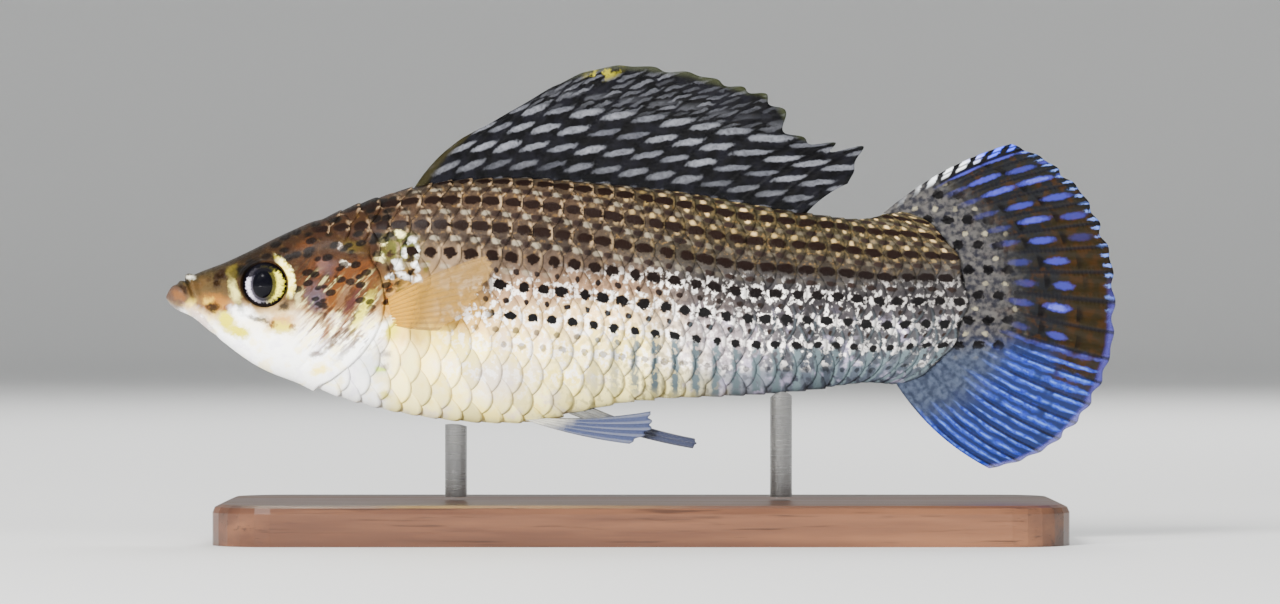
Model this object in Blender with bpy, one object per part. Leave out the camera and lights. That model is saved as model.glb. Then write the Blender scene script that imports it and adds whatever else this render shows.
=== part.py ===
"""A male sailfin molly at life size, held over a plain display base by two rods.

Sizes are in millimetres until a mesh is made, and then in metres. The fish is drawn in its
own side view: s runs back from the tip of the lower jaw, h runs up from the long axis of the
body, and y runs out to the fish's sides. World +X points at the tail and world +Z up.
"""

import math

import bmesh
import bpy
import numpy as np
from mathutils import Vector

MM = 0.001

# Overall sizes
TOTAL_LENGTH = 95.0
BODY_END = 82.0
GAP = 0.3
GIRTH_POINTS = 32
BASE_THICKNESS = 4.0
TAIL_CLEARANCE = 3.0

# The tail fin's rounded outline, a superellipse about a point in the tail root
FAN_CENTRE = (79.8, -0.65)
FAN_REACH = 15.2
FAN_HALF_SPAN = 16.6
FAN_POWER = 2.2
AXIS_HEIGHT = BASE_THICKNESS + TAIL_CLEARANCE + FAN_HALF_SPAN - FAN_CENTRE[1]

# Side profile: (s, h) along the back and along the belly
BACK = (
    (0.0, 0.35), (0.6, 1.1), (1.7, 1.7), (3.2, 2.45), (5.8, 3.45), (8.5, 4.7), (11.0, 5.95),
    (15.2, 7.85), (19.4, 9.6), (24.3, 11.05), (28.0, 11.75), (33.0, 12.1), (39.0, 11.95),
    (45.0, 11.45), (52.1, 10.65), (58.5, 9.55), (64.9, 8.45), (70.0, 8.0), (73.0, 8.7), (82.0, 10.4),
)
BELLY = (
    (0.0, -0.25), (0.8, -1.0), (2.6, -1.9), (4.7, -3.6), (8.9, -6.7), (14.2, -8.9),
    (19.0, -10.6), (25.8, -12.1), (33.3, -12.7), (37.0, -12.55), (41.0, -11.7), (45.7, -10.65),
    (53.0, -10.15), (59.0, -9.85), (65.0, -9.3), (71.0, -8.6), (73.0, -8.8), (82.0, -10.4),
)
# Half of the body's width, and the height of its widest line
HALF_WIDTH = (
    (0.0, 0.7), (0.7, 1.55), (2.2, 2.25), (5.0, 3.1), (10.0, 4.15), (15.0, 5.0), (21.0, 5.75),
    (30.0, 6.35), (38.0, 6.1), (46.0, 5.1), (56.0, 3.95), (66.0, 2.85), (73.0, 1.8),
    (79.0, 0.75), (82.0, 0.55),
)
WIDEST_LINE = (
    (0.0, 0.0), (4.0, 0.6), (10.0, 0.3), (20.0, -1.2), (34.0, -2.2), (50.0, -0.6), (82.0, 0.0),
)
# Powers of the section's curve: above 2 is boxy, as on the flat crown of the head
SIDE_POWER = ((0.0, 2.3), (8.0, 2.5), (18.0, 2.2), (40.0, 2.05), (82.0, 2.0))
CROWN_POWER = ((0.0, 2.2), (8.0, 2.9), (16.0, 2.5), (30.0, 2.0), (60.0, 1.9), (82.0, 2.4))

# Where the body is parted
HEAD_CUT = (
    (24.6, 16.0), (23.4, 9.5), (21.4, 6.2), (20.5, 4.4), (21.6, 2.2), (22.05, -0.6),
    (21.3, -3.4), (19.4, -6.0), (16.9, -8.0), (14.8, -9.4), (13.2, -14.0),
)
STALK_CUT_S = 65.5
TAIL_ROOT_CENTRE = (70.8, 0.1)
TAIL_ROOT_RADIUS = 9.1
CUTTER_REACH = 14.0
# Rings of the body behind the snout: first and last station of a run, and their count
RING_RUNS = ((3.3, 23.0, 19), (25.0, 71.0, 20), (72.5, BODY_END, 7))
SNOUT_END = 2.4
SNOUT_RINGS = 6
SNOUT_CROWDING = 1.6

# Head
EYE_CENTRE = (10.0, 1.3)
EYE_RADIUS = 2.3
EYE_HALF_DEPTH = 1.4
EYE_PROUD = 0.5
PUPIL_RADIUS = 1.15
PUPIL_BULGE = 0.2
ORBIT_RIM = 0.36
ORBIT_SINK = 0.1
NOSTRILS = ((5.6, 2.3, 0.36), (5.25, 1.5, 0.28))
NOSTRIL_DEPTH = 0.5
NOSTRIL_STRETCH = 1.2
MOUTH_CUT = ((0.9, 2.9), (1.75, 1.55), (2.3, 0.1), (3.2, -1.5), (4.6, -3.0), (5.6, -5.6))
MOUTH_GAP = 0.36
# Each lip: s and h of its middle, its reach back, half of its width and its radius
UPPER_LIP = (2.55, 2.0, 2.2, 2.1, 0.62)
LOWER_LIP = (1.05, 0.75, 2.1, 1.75, 0.72)
LIP_SWEEP = 82.0
LIP_DROOP = 0.45
LIP_TAPER = 0.45

# Gill cover plate: its front and rear edges from top to bottom
PLATE_FRONT = ((17.2, 4.1), (16.4, 0.4), (15.6, -3.2), (13.6, -7.0))
PLATE_REAR = ((20.0, 4.3), (21.55, 0.3), (20.7, -3.5), (15.0, -8.0))
PLATE_DEPTH = 0.55
PLATE_PROUD = (0.10, 0.34)
PLATE_GRID = (7, 12)
RECESS_RISE = 2.5

# Fins: the web's thickness at the root and at the rim, and how far a ray stands out of each
# face. A ray's foot is its half-width, as a share of the distance between rays, and its fall
# is the share of its height that is lost at the rim.
FIN_RIM = 0.5
MEDIAN_FIN_ROOT = 0.7
PELVIC_FIN_ROOT = 0.6
GONOPODIUM_THICKNESS = (0.9, 0.6)
RAY_RISE = 0.17
RAY_FOOT = 0.27
RAY_FALL = 0.5
DORSAL_RAYS = 15
DORSAL_WAVE = 0.55
DORSAL_BOW = (0.10, 0.10)
DORSAL_BASE = (25.2, 64.4)
DORSAL_TIPS = (
    (0.0, 29.7, 16.0), (0.08, 34.2, 18.5), (0.23, 41.9, 22.6), (0.31, 45.9, 23.3),
    (0.38, 49.7, 23.0), (0.54, 56.6, 21.4), (0.69, 61.6, 19.3), (0.77, 63.6, 16.2),
    (0.85, 67.2, 15.5), (0.92, 69.9, 15.0), (1.0, 68.2, 11.4),
)
TAIL_RAYS = 18
TAIL_WAVE = 0.45
TAIL_ROOT_ANGLES = (78.0, -75.0)
TAIL_TIP_ANGLES = (74.0, -82.0)
TAIL_BOW = (0.10, -0.13)
PECTORAL_RAYS = 10
PECTORAL_BOW = (0.06, -0.04)
PECTORAL_ROOT = ((23.3, 0.5), (24.0, -3.0))
PECTORAL_TIPS = (
    (0.0, 32.2, 4.1), (0.18, 33.0, 3.2), (0.45, 32.0, 0.9), (0.73, 30.3, -1.3), (1.0, 27.5, -3.3),
)
PECTORAL_LIFT = 1.7
PECTORAL_LOBE = 1.0
PELVIC_RAYS = 5
PELVIC_BOW = (-0.05, -0.05)
PELVIC_ROOT_S = (37.0, 39.4)
PELVIC_Y = (1.45, 2.0)
PELVIC_TIPS = ((0.0, 46.4, -14.6), (0.4, 48.4, -13.4), (1.0, 48.5, -11.4))
GONOPODIUM_RAYS = 3
GONOPODIUM_ROOT_S = (41.2, 43.6)
GONOPODIUM_TIPS = ((0.0, 52.7, -15.1), (0.5, 53.1, -14.6), (1.0, 52.9, -14.1))

# Display stand
BASE_LENGTH = 84.0
BASE_WIDTH = 36.0
BASE_CORNER = 6.0
BASE_BEVEL = 0.8
ROD_RADIUS = 1.1
ROD_SIDES = 24
ROD_STATIONS = {"stand_rod_front": 29.0, "stand_rod_rear": 61.5}

COLOURS = {
    "flesh": ((0.62, 0.55, 0.42, 1.0), 0.42, 0.0),
    "eye": ((0.60, 0.56, 0.36, 1.0), 0.12, 0.0),
    "sail": ((0.28, 0.31, 0.33, 1.0), 0.45, 0.0),
    "tail_fin": ((0.22, 0.33, 0.62, 1.0), 0.40, 0.0),
    "clear_fin": ((0.66, 0.62, 0.50, 1.0), 0.35, 0.0),
    "base": ((0.045, 0.040, 0.038, 1.0), 0.35, 0.0),
    "rod": ((0.62, 0.60, 0.56, 1.0), 0.28, 1.0),
}


def smooth(points, at):
    """A smooth curve through (place, value) pairs, read at one place or at several."""
    place, value = np.array(points, float).T
    slope = np.gradient(value, place)
    at = np.clip(np.asarray(at, float), place[0], place[-1])
    k = np.clip(np.searchsorted(place, at) - 1, 0, len(place) - 2)
    step = place[k + 1] - place[k]
    t = (at - place[k]) / step
    return (
        value[k] * (2 * t**3 - 3 * t**2 + 1)
        + slope[k] * step * (t**3 - 2 * t**2 + t)
        + value[k + 1] * (3 * t**2 - 2 * t**3)
        + slope[k + 1] * step * (t**3 - t**2)
    )


def between(first, last, share):
    """A value that runs evenly from one end to the other."""
    return first + (last - first) * share


def smooth_path(points, at):
    """A smooth path through (share, s, h) rows, read at a share of the way."""
    rows = np.array(points, float)
    return np.stack([smooth(rows[:, [0, k]], at) for k in (1, 2)], axis=-1)


def evenly(points, count):
    """count places along a smooth path through (s, h) points."""
    rows = [(k, s, h) for k, (s, h) in enumerate(points)]
    return smooth_path(rows, np.linspace(0, len(points) - 1, count))


def half_width_at(s, h):
    """How far the flank stands out from the midplane at a place in the side view."""
    top, low, mid = smooth(BACK, s), smooth(BELLY, s), smooth(WIDEST_LINE, s)
    share = np.where(h > mid, (h - mid) / (top - mid), (mid - h) / (mid - low))
    p, q = smooth(SIDE_POWER, s), smooth(CROWN_POWER, s)
    rest = np.clip(1 - np.clip(share, 0, 1) ** q, 0, 1)
    return smooth(HALF_WIDTH, s) * rest ** (1 / p)


def belly_at(s, y):
    """Height of the body's underside at a distance y from the midplane."""
    low, mid = smooth(BELLY, s), smooth(WIDEST_LINE, s)
    p, q = smooth(SIDE_POWER, s), smooth(CROWN_POWER, s)
    share = np.clip(1 - (abs(y) / smooth(HALF_WIDTH, s)) ** p, 0, 1) ** (1 / q)
    return mid - (mid - low) * share


def world(s, y, h):
    """World place, in metres, of a place in the fish's own frame."""
    s, y, h = np.broadcast_arrays(s, y, h)
    return np.stack([s - TOTAL_LENGTH / 2, y, h + AXIS_HEIGHT], axis=-1) * MM


def material(name):
    """The named Principled material, made on first use."""
    found = bpy.data.materials.get(name)
    if found:
        return found
    made = bpy.data.materials.new(name)
    made.use_nodes = True
    shader = made.node_tree.nodes["Principled BSDF"]
    colour, roughness, metallic = COLOURS[name]
    shader.inputs["Base Color"].default_value = colour
    shader.inputs["Roughness"].default_value = roughness
    shader.inputs["Metallic"].default_value = metallic
    return made


def add_object(name, points, faces, finish):
    """An object from world points and faces, with its faces turned outward."""
    mesh = bpy.data.meshes.new(name)
    mesh.from_pydata([tuple(p) for p in points], [], [tuple(f) for f in faces])
    work = bmesh.new()
    work.from_mesh(mesh)
    bmesh.ops.recalc_face_normals(work, faces=work.faces)
    work.to_mesh(mesh)
    work.free()
    obj = bpy.data.objects.new(name, mesh)
    bpy.context.scene.collection.objects.link(obj)
    obj.data.materials.append(material(finish))
    return obj


def loft(rings):
    """Points and faces of a closed skin over rings of equal size, with a fan at each end."""
    count, around = len(rings), len(rings[0])
    points = [p for ring in rings for p in ring]
    ends = [np.mean(rings[0], axis=0), np.mean(rings[-1], axis=0)]
    first, last = count * around, count * around + 1
    faces = []
    for i in range(count - 1):
        for j in range(around):
            k = (j + 1) % around
            a, b = i * around + j, i * around + k
            faces.append((a, b, b + around, a + around))
    for j in range(around):
        k = (j + 1) % around
        faces.append((first, k, j))
        faces.append((last, (count - 1) * around + j, (count - 1) * around + k))
    return points + ends, faces


def body_ring(s):
    """The body's section at one station, as world points."""
    angle = np.arange(GIRTH_POINTS) * 2 * math.pi / GIRTH_POINTS + math.pi / 2
    p, q = smooth(SIDE_POWER, s), smooth(CROWN_POWER, s)
    side = np.sign(np.cos(angle)) * np.abs(np.cos(angle)) ** (2 / p)
    rise = np.sign(np.sin(angle)) * np.abs(np.sin(angle)) ** (2 / q)
    top, low, mid = smooth(BACK, s), smooth(BELLY, s), smooth(WIDEST_LINE, s)
    height = mid + np.where(rise > 0, rise * (top - mid), rise * (mid - low))
    return world(s, side * smooth(HALF_WIDTH, s), height)


def body_stations():
    """Places of the rings: close together on the snout, wider apart behind the gills."""
    snout = SNOUT_END * np.linspace(0.0, 1.0, SNOUT_RINGS) ** SNOUT_CROWDING
    return np.concatenate([snout, *(np.linspace(*run) for run in RING_RUNS)])


def tube(path, radii, sides=10):
    """Rings of a tapered tube along world points. Each ring stands square to the path."""
    path = np.asarray(path)
    along = np.gradient(path, axis=0)
    along /= np.linalg.norm(along, axis=1)[:, None]
    rings = []
    for centre, ahead, radius in zip(path, along, radii):
        over = np.cross(ahead, (0.0, 0.0, 1.0))
        over /= np.linalg.norm(over)
        up = np.cross(over, ahead)
        angle = np.arange(sides)[:, None] * 2 * math.pi / sides
        rings.append(centre + radius * (np.cos(angle) * over + np.sin(angle) * up))
    return rings


def lip(name, s, h, reach, half_mouth, radius):
    """A fleshy roll across the front of the mouth, bent back towards the mouth's corners."""
    turn = np.radians(np.linspace(-LIP_SWEEP, LIP_SWEEP, 13))
    back = 1 - np.cos(turn)
    path = world(s + reach * back, half_mouth * np.sin(turn), h - LIP_DROOP * back)
    taper = radius * MM * between(LIP_TAPER, 1.0, np.sqrt(np.cos(turn)))
    return add_object(name, *loft(tube(path, taper, 8)), "flesh")


def ellipsoid(name, centre, radii, finish, axes=np.eye(3), around=20, rings=10):
    """A closed ellipsoid with its poles on the second of three axes, in the fish's own frame."""
    turn = np.arange(around)[:, None] * 2 * math.pi / around
    centre, axes = np.asarray(centre, float), np.asarray(axes, float)

    def section(lean):
        ring = np.cos(turn) * axes[0] * radii[0] + np.sin(turn) * axes[2] * radii[2]
        return centre + ring * math.cos(lean) + axes[1] * radii[1] * math.sin(lean)

    leans = np.radians(np.linspace(-90, 90, rings + 1)[1:-1])
    points, faces = loft([world(*section(lean).T) for lean in leans])
    points[-2] = world(*(centre - axes[1] * radii[1]))
    points[-1] = world(*(centre + axes[1] * radii[1]))
    return add_object(name, points, faces, finish)


def eye_frame(side):
    """Centre of an eye and its axes: along the cheek, out of it, and up it."""
    s, h = EYE_CENTRE
    step = EYE_RADIUS / 2
    slope_s = float(half_width_at(s + step, h) - half_width_at(s - step, h)) / (2 * step)
    slope_h = float(half_width_at(s, h + step) - half_width_at(s, h - step)) / (2 * step)
    outward = np.array([-slope_s, side, -slope_h])
    outward /= np.linalg.norm(outward)
    along = np.cross([0.0, 0.0, side], outward)
    along /= np.linalg.norm(along)
    centre = np.array([s, side * float(half_width_at(s, h)), h])
    return centre + outward * (EYE_PROUD - EYE_HALF_DEPTH), (along, outward, np.cross(along, outward))


def eye(name, side):
    """A flattened eyeball with the lens bulging at the pupil."""
    centre, axes = eye_frame(side)
    radii = (EYE_RADIUS, EYE_HALF_DEPTH, EYE_RADIUS)
    ball = ellipsoid(name, centre, radii, "eye", axes, 24, 14)
    middle = world(*centre)
    for vertex in ball.data.vertices:
        local = np.asarray(axes) @ (np.array(vertex.co) - middle) / MM
        off = math.hypot(local[0], local[2]) / PUPIL_RADIUS
        if off < 1 and local[1] > 0:
            lift = PUPIL_BULGE * MM * math.sqrt(1 - off * off)
            vertex.co += Vector(axes[1] * lift)
    return ball


def orbit_rim(name, side):
    """A low fleshy ring round the eye, lying on the cheek."""
    s, h = EYE_CENTRE
    turn = np.radians(np.linspace(0, 360, 25)[:-1])
    ring_s = s + (EYE_RADIUS + GAP + ORBIT_SINK) * np.cos(turn)
    ring_h = h + (EYE_RADIUS + GAP + ORBIT_SINK) * np.sin(turn)
    flank = half_width_at(ring_s, ring_h) - ORBIT_SINK
    centre = np.stack([ring_s, side * flank, ring_h], axis=-1)
    outward = np.stack([np.cos(turn), 0 * turn, np.sin(turn)], axis=-1)
    sides = 6
    rings = []
    for middle, out in zip(centre, outward):
        angle = np.arange(sides)[:, None] * 2 * math.pi / sides
        spot = middle + ORBIT_RIM * (np.cos(angle) * out + np.sin(angle) * np.array([0, side, 0]))
        rings.append(world(*spot.T))
    points = [p for ring in rings for p in ring]
    faces = []
    for i in range(len(rings)):
        for j in range(sides):
            k, m = (j + 1) % sides, (i + 1) % len(rings)
            faces.append((i * sides + j, i * sides + k, m * sides + k, m * sides + j))
    return add_object(name, points, faces, "flesh")


def slab(name, line, thickness):
    """A thin curved wall across the whole fish: a line in the side view, drawn out sideways."""
    line = np.asarray(line, float)
    along = np.gradient(line, axis=0)
    along /= np.linalg.norm(along, axis=1)[:, None]
    normal = np.stack([-along[:, 1], along[:, 0]], axis=-1) * thickness / 2
    outline = np.concatenate([line + normal, (line - normal)[::-1]])
    return prism(name, outline)


def prism(name, outline):
    """A side-view outline drawn out past both sides of the fish. It is a cutter."""
    count, reach = len(outline), CUTTER_REACH
    points = [*world(outline[:, 0], -reach, outline[:, 1]), *world(outline[:, 0], reach, outline[:, 1])]
    faces = [tuple(range(count)), tuple(range(2 * count - 1, count - 1, -1))]
    faces += [(j, (j + 1) % count, count + (j + 1) % count, count + j) for j in range(count)]
    return add_object(name, points, faces, "flesh")


def tail_end_cutter():
    """All that lies behind the round end of the tail stalk."""
    angle = np.radians(np.linspace(84, -84, 29))
    s = TAIL_ROOT_CENTRE[0] + TAIL_ROOT_RADIUS * np.cos(angle)
    h = TAIL_ROOT_CENTRE[1] + TAIL_ROOT_RADIUS * np.sin(angle)
    arc = np.stack([s, h], axis=-1)
    front, rear, rise = s[0], BODY_END + CUTTER_REACH, CUTTER_REACH
    box = np.array([(front, -rise), (rear, -rise), (rear, rise), (front, rise)])
    return prism("tail_end_cutter", np.concatenate([arc, box]))


def plate_grid(side, grow, depth, proud):
    """Inner and outer points of a gill cover plate, grown on all four edges."""
    across, down = PLATE_GRID
    front, rear = evenly(PLATE_FRONT, down), evenly(PLATE_REAR, down)
    front[:, 0] -= grow
    rear[:, 0] += grow
    lift = np.linspace(grow, -grow, down)
    front[:, 1] += lift
    rear[:, 1] += lift
    share = np.linspace(0, 1, across)[:, None, None]
    place = front[None] * (1 - share) + rear[None] * share
    s, h = place[..., 0], place[..., 1]
    surface = half_width_at(s, h)
    rise = between(*proud, share[..., 0])
    return world(s, side * (surface - depth), h), world(s, side * (surface + rise), h)


def thick_sheet(near, far):
    """Points and triangles of a closed sheet between two grids, cut alike on both faces."""
    across, down = near.shape[:2]
    points = np.concatenate([near.reshape(-1, 3), far.reshape(-1, 3)])
    size = across * down
    faces = []
    for i in range(across - 1):
        for j in range(down - 1):
            a, b = i * down + j, (i + 1) * down + j
            faces += [(a, b, b + 1), (a, b + 1, a + 1)]
            faces += [(size + b + 1, size + b, size + a), (size + a + 1, size + b + 1, size + a)]
    rim = [i * down for i in range(across)]
    rim += [(across - 1) * down + j for j in range(1, down)]
    rim += [i * down + down - 1 for i in range(across - 2, -1, -1)]
    rim += [j for j in range(down - 2, 0, -1)]
    for here, there in zip(rim, rim[1:] + rim[:1]):
        faces += [(there, here, size + here), (there, size + here, size + there)]
    return points, faces


def gill_cover(name, side):
    """The plate that covers the gills, standing proud of the flank at its rear edge."""
    inner, outer = plate_grid(side, 0.0, PLATE_DEPTH, PLATE_PROUD)
    return add_object(name, *thick_sheet(inner, outer), "flesh")


def gill_recess(name, side):
    """The hollow in the head that a gill cover lies in. It is a cutter."""
    inner, outer = plate_grid(side, GAP, PLATE_DEPTH + GAP, (RECESS_RISE, RECESS_RISE))
    return add_object(name, *thick_sheet(inner, outer), "flesh")


def thickness(root, rim, along):
    """Thickness of a fin's web at a share of the way from its root to its rim."""
    return rim + (root - rim) * (1 - along) ** 3


def ray_columns(rays):
    """Places across a fin of each ray's two feet and crest, and which of them are crests."""
    spacing = 1 / (rays - 1 + 2 * RAY_FOOT)
    centres = (np.arange(rays) + RAY_FOOT) * spacing
    share = centres[:, None] + np.array([-1, 0, 1]) * RAY_FOOT * spacing
    return share.ravel(), np.tile([0.0, 1.0, 0.0], rays)


def fin(name, rays, root, tip, bow, out, thick, lengthwise, finish):
    """A fin that fans out from its root, with its rays raised in its own surface.

    root and tip give the two ends of a ray in the side view, for a share from 0 to 1 across
    the fin. bow is how far the first and the last ray bend forward, as a share of their
    length, and out gives the fin's distance from the midplane.
    """
    share, crest = ray_columns(rays)
    along = np.linspace(0, 1, lengthwise + 1)
    start, end = root(share), tip(share)
    reach = end - start
    bend = np.interp(share, (0, 1), bow)[:, None]
    middle = (start + end) / 2 + np.stack([-reach[:, 1], reach[:, 0]], axis=-1) * bend
    t = along[None, :, None]
    line = start[:, None] * (1 - t) ** 2 + 2 * middle[:, None] * t * (1 - t) + end[:, None] * t**2
    ridge = RAY_RISE * crest[:, None] * (1 - RAY_FALL * along)
    half = thickness(*thick, along) / 2 + ridge
    y = out(share[:, None], along[None, :])
    near = world(line[..., 0], y - half, line[..., 1])
    far = world(line[..., 0], y + half, line[..., 1])
    return add_object(name, *thick_sheet(near, far), finish)


def waved(height, waves):
    """A fin that stands on the midplane at its root and sways in soft waves at its rim."""
    return lambda share, along: height * np.sin(2 * math.pi * waves * share) * along**2


def dorsal_fin():
    def root(share):
        s = between(*DORSAL_BASE, share)
        return np.stack([s, smooth(BACK, s) + GAP], axis=-1)

    def tip(share):
        return smooth_path(DORSAL_TIPS, share)

    thick, out = (MEDIAN_FIN_ROOT, FIN_RIM), waved(DORSAL_WAVE, 1.5)
    return fin("dorsal_fin", DORSAL_RAYS, root, tip, DORSAL_BOW, out, thick, 10, "sail")


def tail_fin():
    def root(share):
        angle = np.radians(between(*TAIL_ROOT_ANGLES, share))
        radius = TAIL_ROOT_RADIUS + GAP
        s = TAIL_ROOT_CENTRE[0] + radius * np.cos(angle)
        return np.stack([s, TAIL_ROOT_CENTRE[1] + radius * np.sin(angle)], axis=-1)

    def tip(share):
        angle = np.radians(between(*TAIL_TIP_ANGLES, share))
        c, d = np.cos(angle), np.sin(angle)
        reach = FAN_REACH * np.abs(c) ** (2 / FAN_POWER)
        rise = FAN_HALF_SPAN * np.sign(d) * np.abs(d) ** (2 / FAN_POWER)
        return np.stack([FAN_CENTRE[0] + reach, FAN_CENTRE[1] + rise], axis=-1)

    thick, out = (MEDIAN_FIN_ROOT, FIN_RIM), waved(TAIL_WAVE, 1.0)
    return fin("tail_fin", TAIL_RAYS, root, tip, TAIL_BOW, out, thick, 8, "tail_fin")


def pectoral_fin(name, side):
    """A fan that leaves the flank from a fleshy lobe at its root."""
    upper, lower = PECTORAL_ROOT

    def root(share):
        s, h = between(upper[0], lower[0], share), between(upper[1], lower[1], share)
        return np.stack([s, h], axis=-1)

    def tip(share):
        return smooth_path(PECTORAL_TIPS, share)

    def out(share, along):
        flank = half_width_at(*root(share).T).T
        half = thickness(PECTORAL_LOBE, FIN_RIM, along) / 2 + RAY_RISE
        return side * (flank + GAP + half + PECTORAL_LIFT * along)

    thick = (PECTORAL_LOBE, FIN_RIM)
    return fin(name, PECTORAL_RAYS, root, tip, PECTORAL_BOW, out, thick, 6, "clear_fin")


def pelvic_fin(name, side):
    def root(share):
        s = between(*PELVIC_ROOT_S, share)
        return np.stack([s, belly_at(s, PELVIC_Y[0]) - GAP], axis=-1)

    def tip(share):
        return smooth_path(PELVIC_TIPS, share)

    def out(share, along):
        return side * between(*PELVIC_Y, along) + 0 * share

    thick = (PELVIC_FIN_ROOT, FIN_RIM)
    return fin(name, PELVIC_RAYS, root, tip, PELVIC_BOW, out, thick, 6, "clear_fin")


def gonopodium():
    """The male's rod-like anal fin, of three thick rays."""

    def root(share):
        s = between(*GONOPODIUM_ROOT_S, share)
        return np.stack([s, belly_at(s, 0.0) - GAP], axis=-1)

    def tip(share):
        return smooth_path(GONOPODIUM_TIPS, share)

    rays, thick, out = GONOPODIUM_RAYS, GONOPODIUM_THICKNESS, waved(0.0, 0.0)
    return fin("gonopodium", rays, root, tip, PELVIC_BOW, out, thick, 9, "clear_fin")


def applied(obj, name):
    """The object's mesh with its modifiers applied, as a new object."""
    graph = bpy.context.evaluated_depsgraph_get()
    mesh = bpy.data.meshes.new_from_object(obj.evaluated_get(graph))
    made = bpy.data.objects.new(name, mesh)
    bpy.context.scene.collection.objects.link(made)
    return made


def boolean(obj, others, operation, name):
    """obj joined with or cut by other objects, all of which are then removed."""
    group = bpy.data.collections.new(name + "_others")
    bpy.context.scene.collection.children.link(group)
    for other in others:
        bpy.context.scene.collection.objects.unlink(other)
        group.objects.link(other)
    change = obj.modifiers.new("change", "BOOLEAN")
    change.operation = operation
    change.solver = "EXACT"
    change.operand_type = "COLLECTION"
    change.collection = group
    made = applied(obj, name)
    for used in [obj, *others]:
        bpy.data.objects.remove(used)
    bpy.data.collections.remove(group)
    return made


def closed_surfaces(obj):
    """The object's separate closed surfaces, each as (points, faces), largest first."""
    work = bmesh.new()
    work.from_mesh(obj.data)
    bmesh.ops.remove_doubles(work, verts=work.verts, dist=1e-7)
    bmesh.ops.triangulate(work, faces=work.faces)
    work.verts.ensure_lookup_table()
    seen, found = set(), []
    for start in work.verts:
        if start.index in seen:
            continue
        seen.add(start.index)
        members, waiting = [], [start]
        while waiting:
            vertex = waiting.pop()
            members.append(vertex)
            for edge in vertex.link_edges:
                other = edge.other_vert(vertex)
                if other.index not in seen:
                    seen.add(other.index)
                    waiting.append(other)
        index = {vertex.index: k for k, vertex in enumerate(members)}
        faces = {face for vertex in members for face in vertex.link_faces}
        faces = sorted(faces, key=lambda face: face.index)
        corners = [tuple(index[v.index] for v in face.verts) for face in faces]
        found.append((np.array([v.co[:] for v in members]), corners))
    work.free()
    return sorted(found, key=lambda piece: -len(piece[1]))


def body():
    """The flesh of the fish, modelled whole and parted with thin cuts."""
    rings = [body_ring(s) for s in body_stations()]
    whole = add_object("whole", *loft(rings), "flesh")
    rolls = [
        lip("upper_lip", *UPPER_LIP),
        lip("lower_lip", *LOWER_LIP),
        orbit_rim("rim_left", -1),
        orbit_rim("rim_right", 1),
    ]
    whole = boolean(whole, rolls, "UNION", "whole_with_rolls")
    cutters = [
        slab("head_cutter", evenly(HEAD_CUT, 31), GAP),
        slab("stalk_cutter", [(STALK_CUT_S, -CUTTER_REACH), (STALK_CUT_S, CUTTER_REACH)], GAP),
        slab("mouth_cutter", evenly(MOUTH_CUT, 13), MOUTH_GAP),
        tail_end_cutter(),
    ]
    for side, label in ((-1, "left"), (1, "right")):
        centre, axes = eye_frame(side)
        room = (EYE_RADIUS + GAP, EYE_HALF_DEPTH + GAP, EYE_RADIUS + GAP)
        cutters.append(ellipsoid("socket_" + label, centre, room, "flesh", axes, 24, 12))
        cutters.append(gill_recess("recess_" + label, side))
        for k, (ns, nh, radius) in enumerate(NOSTRILS):
            place = (ns, side * float(half_width_at(ns, nh)), nh)
            room = (radius * NOSTRIL_STRETCH, NOSTRIL_DEPTH, radius)
            cutters.append(ellipsoid(f"nostril_{k}_{label}", place, room, "flesh", around=10, rings=6))
    parted = boolean(whole, cutters, "DIFFERENCE", "parted")
    pieces = closed_surfaces(parted)[:4]
    bpy.data.objects.remove(parted)
    pieces.sort(key=lambda piece: piece[0][:, 0].mean())
    for name, (points, faces) in zip(("lower_jaw", "head", "trunk", "tail_stalk"), pieces):
        add_object(name, points, faces, "flesh")


def rounded_rectangle(length, width, corner, steps=6):
    """Corner by corner, the outline of a rectangle with round corners."""
    outline = []
    for quarter in range(4):
        sign = ((1, 1), (-1, 1), (-1, -1), (1, -1))[quarter]
        middle = (sign[0] * (length / 2 - corner), sign[1] * (width / 2 - corner))
        for angle in np.radians(np.linspace(0, 90, steps + 1) + 90 * quarter):
            outline.append((middle[0] + corner * math.cos(angle), middle[1] + corner * math.sin(angle)))
    return outline


def stand_base():
    """A flat plate with round corners and a bevelled upper edge."""
    levels = (
        (0.0, 0.0), (0.0, BASE_THICKNESS - BASE_BEVEL),
        (0.3 * BASE_BEVEL, BASE_THICKNESS - 0.3 * BASE_BEVEL), (BASE_BEVEL, BASE_THICKNESS),
    )
    rings = []
    for inset, z in levels:
        outline = rounded_rectangle(BASE_LENGTH - 2 * inset, BASE_WIDTH - 2 * inset, BASE_CORNER - inset)
        rings.append([(x * MM, y * MM, z * MM) for x, y in outline])
    return add_object("stand_base", *loft(rings), "base")


def stand_rod(name, s):
    """A rod from the base to the belly. Its top is cut to the belly's own shape."""
    turn = np.arange(ROD_SIDES) * 2 * math.pi / ROD_SIDES
    foot = BASE_THICKNESS + GAP - AXIS_HEIGHT
    rim_s, rim_y = s + ROD_RADIUS * np.cos(turn), ROD_RADIUS * np.sin(turn)
    top = belly_at(rim_s, rim_y) - GAP
    points, faces = loft([world(rim_s, rim_y, foot), world(rim_s, rim_y, top)])
    points[-1] = world(s, 0.0, float(belly_at(s, 0.0)) - GAP)
    return add_object(name, points, faces, "rod")


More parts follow.
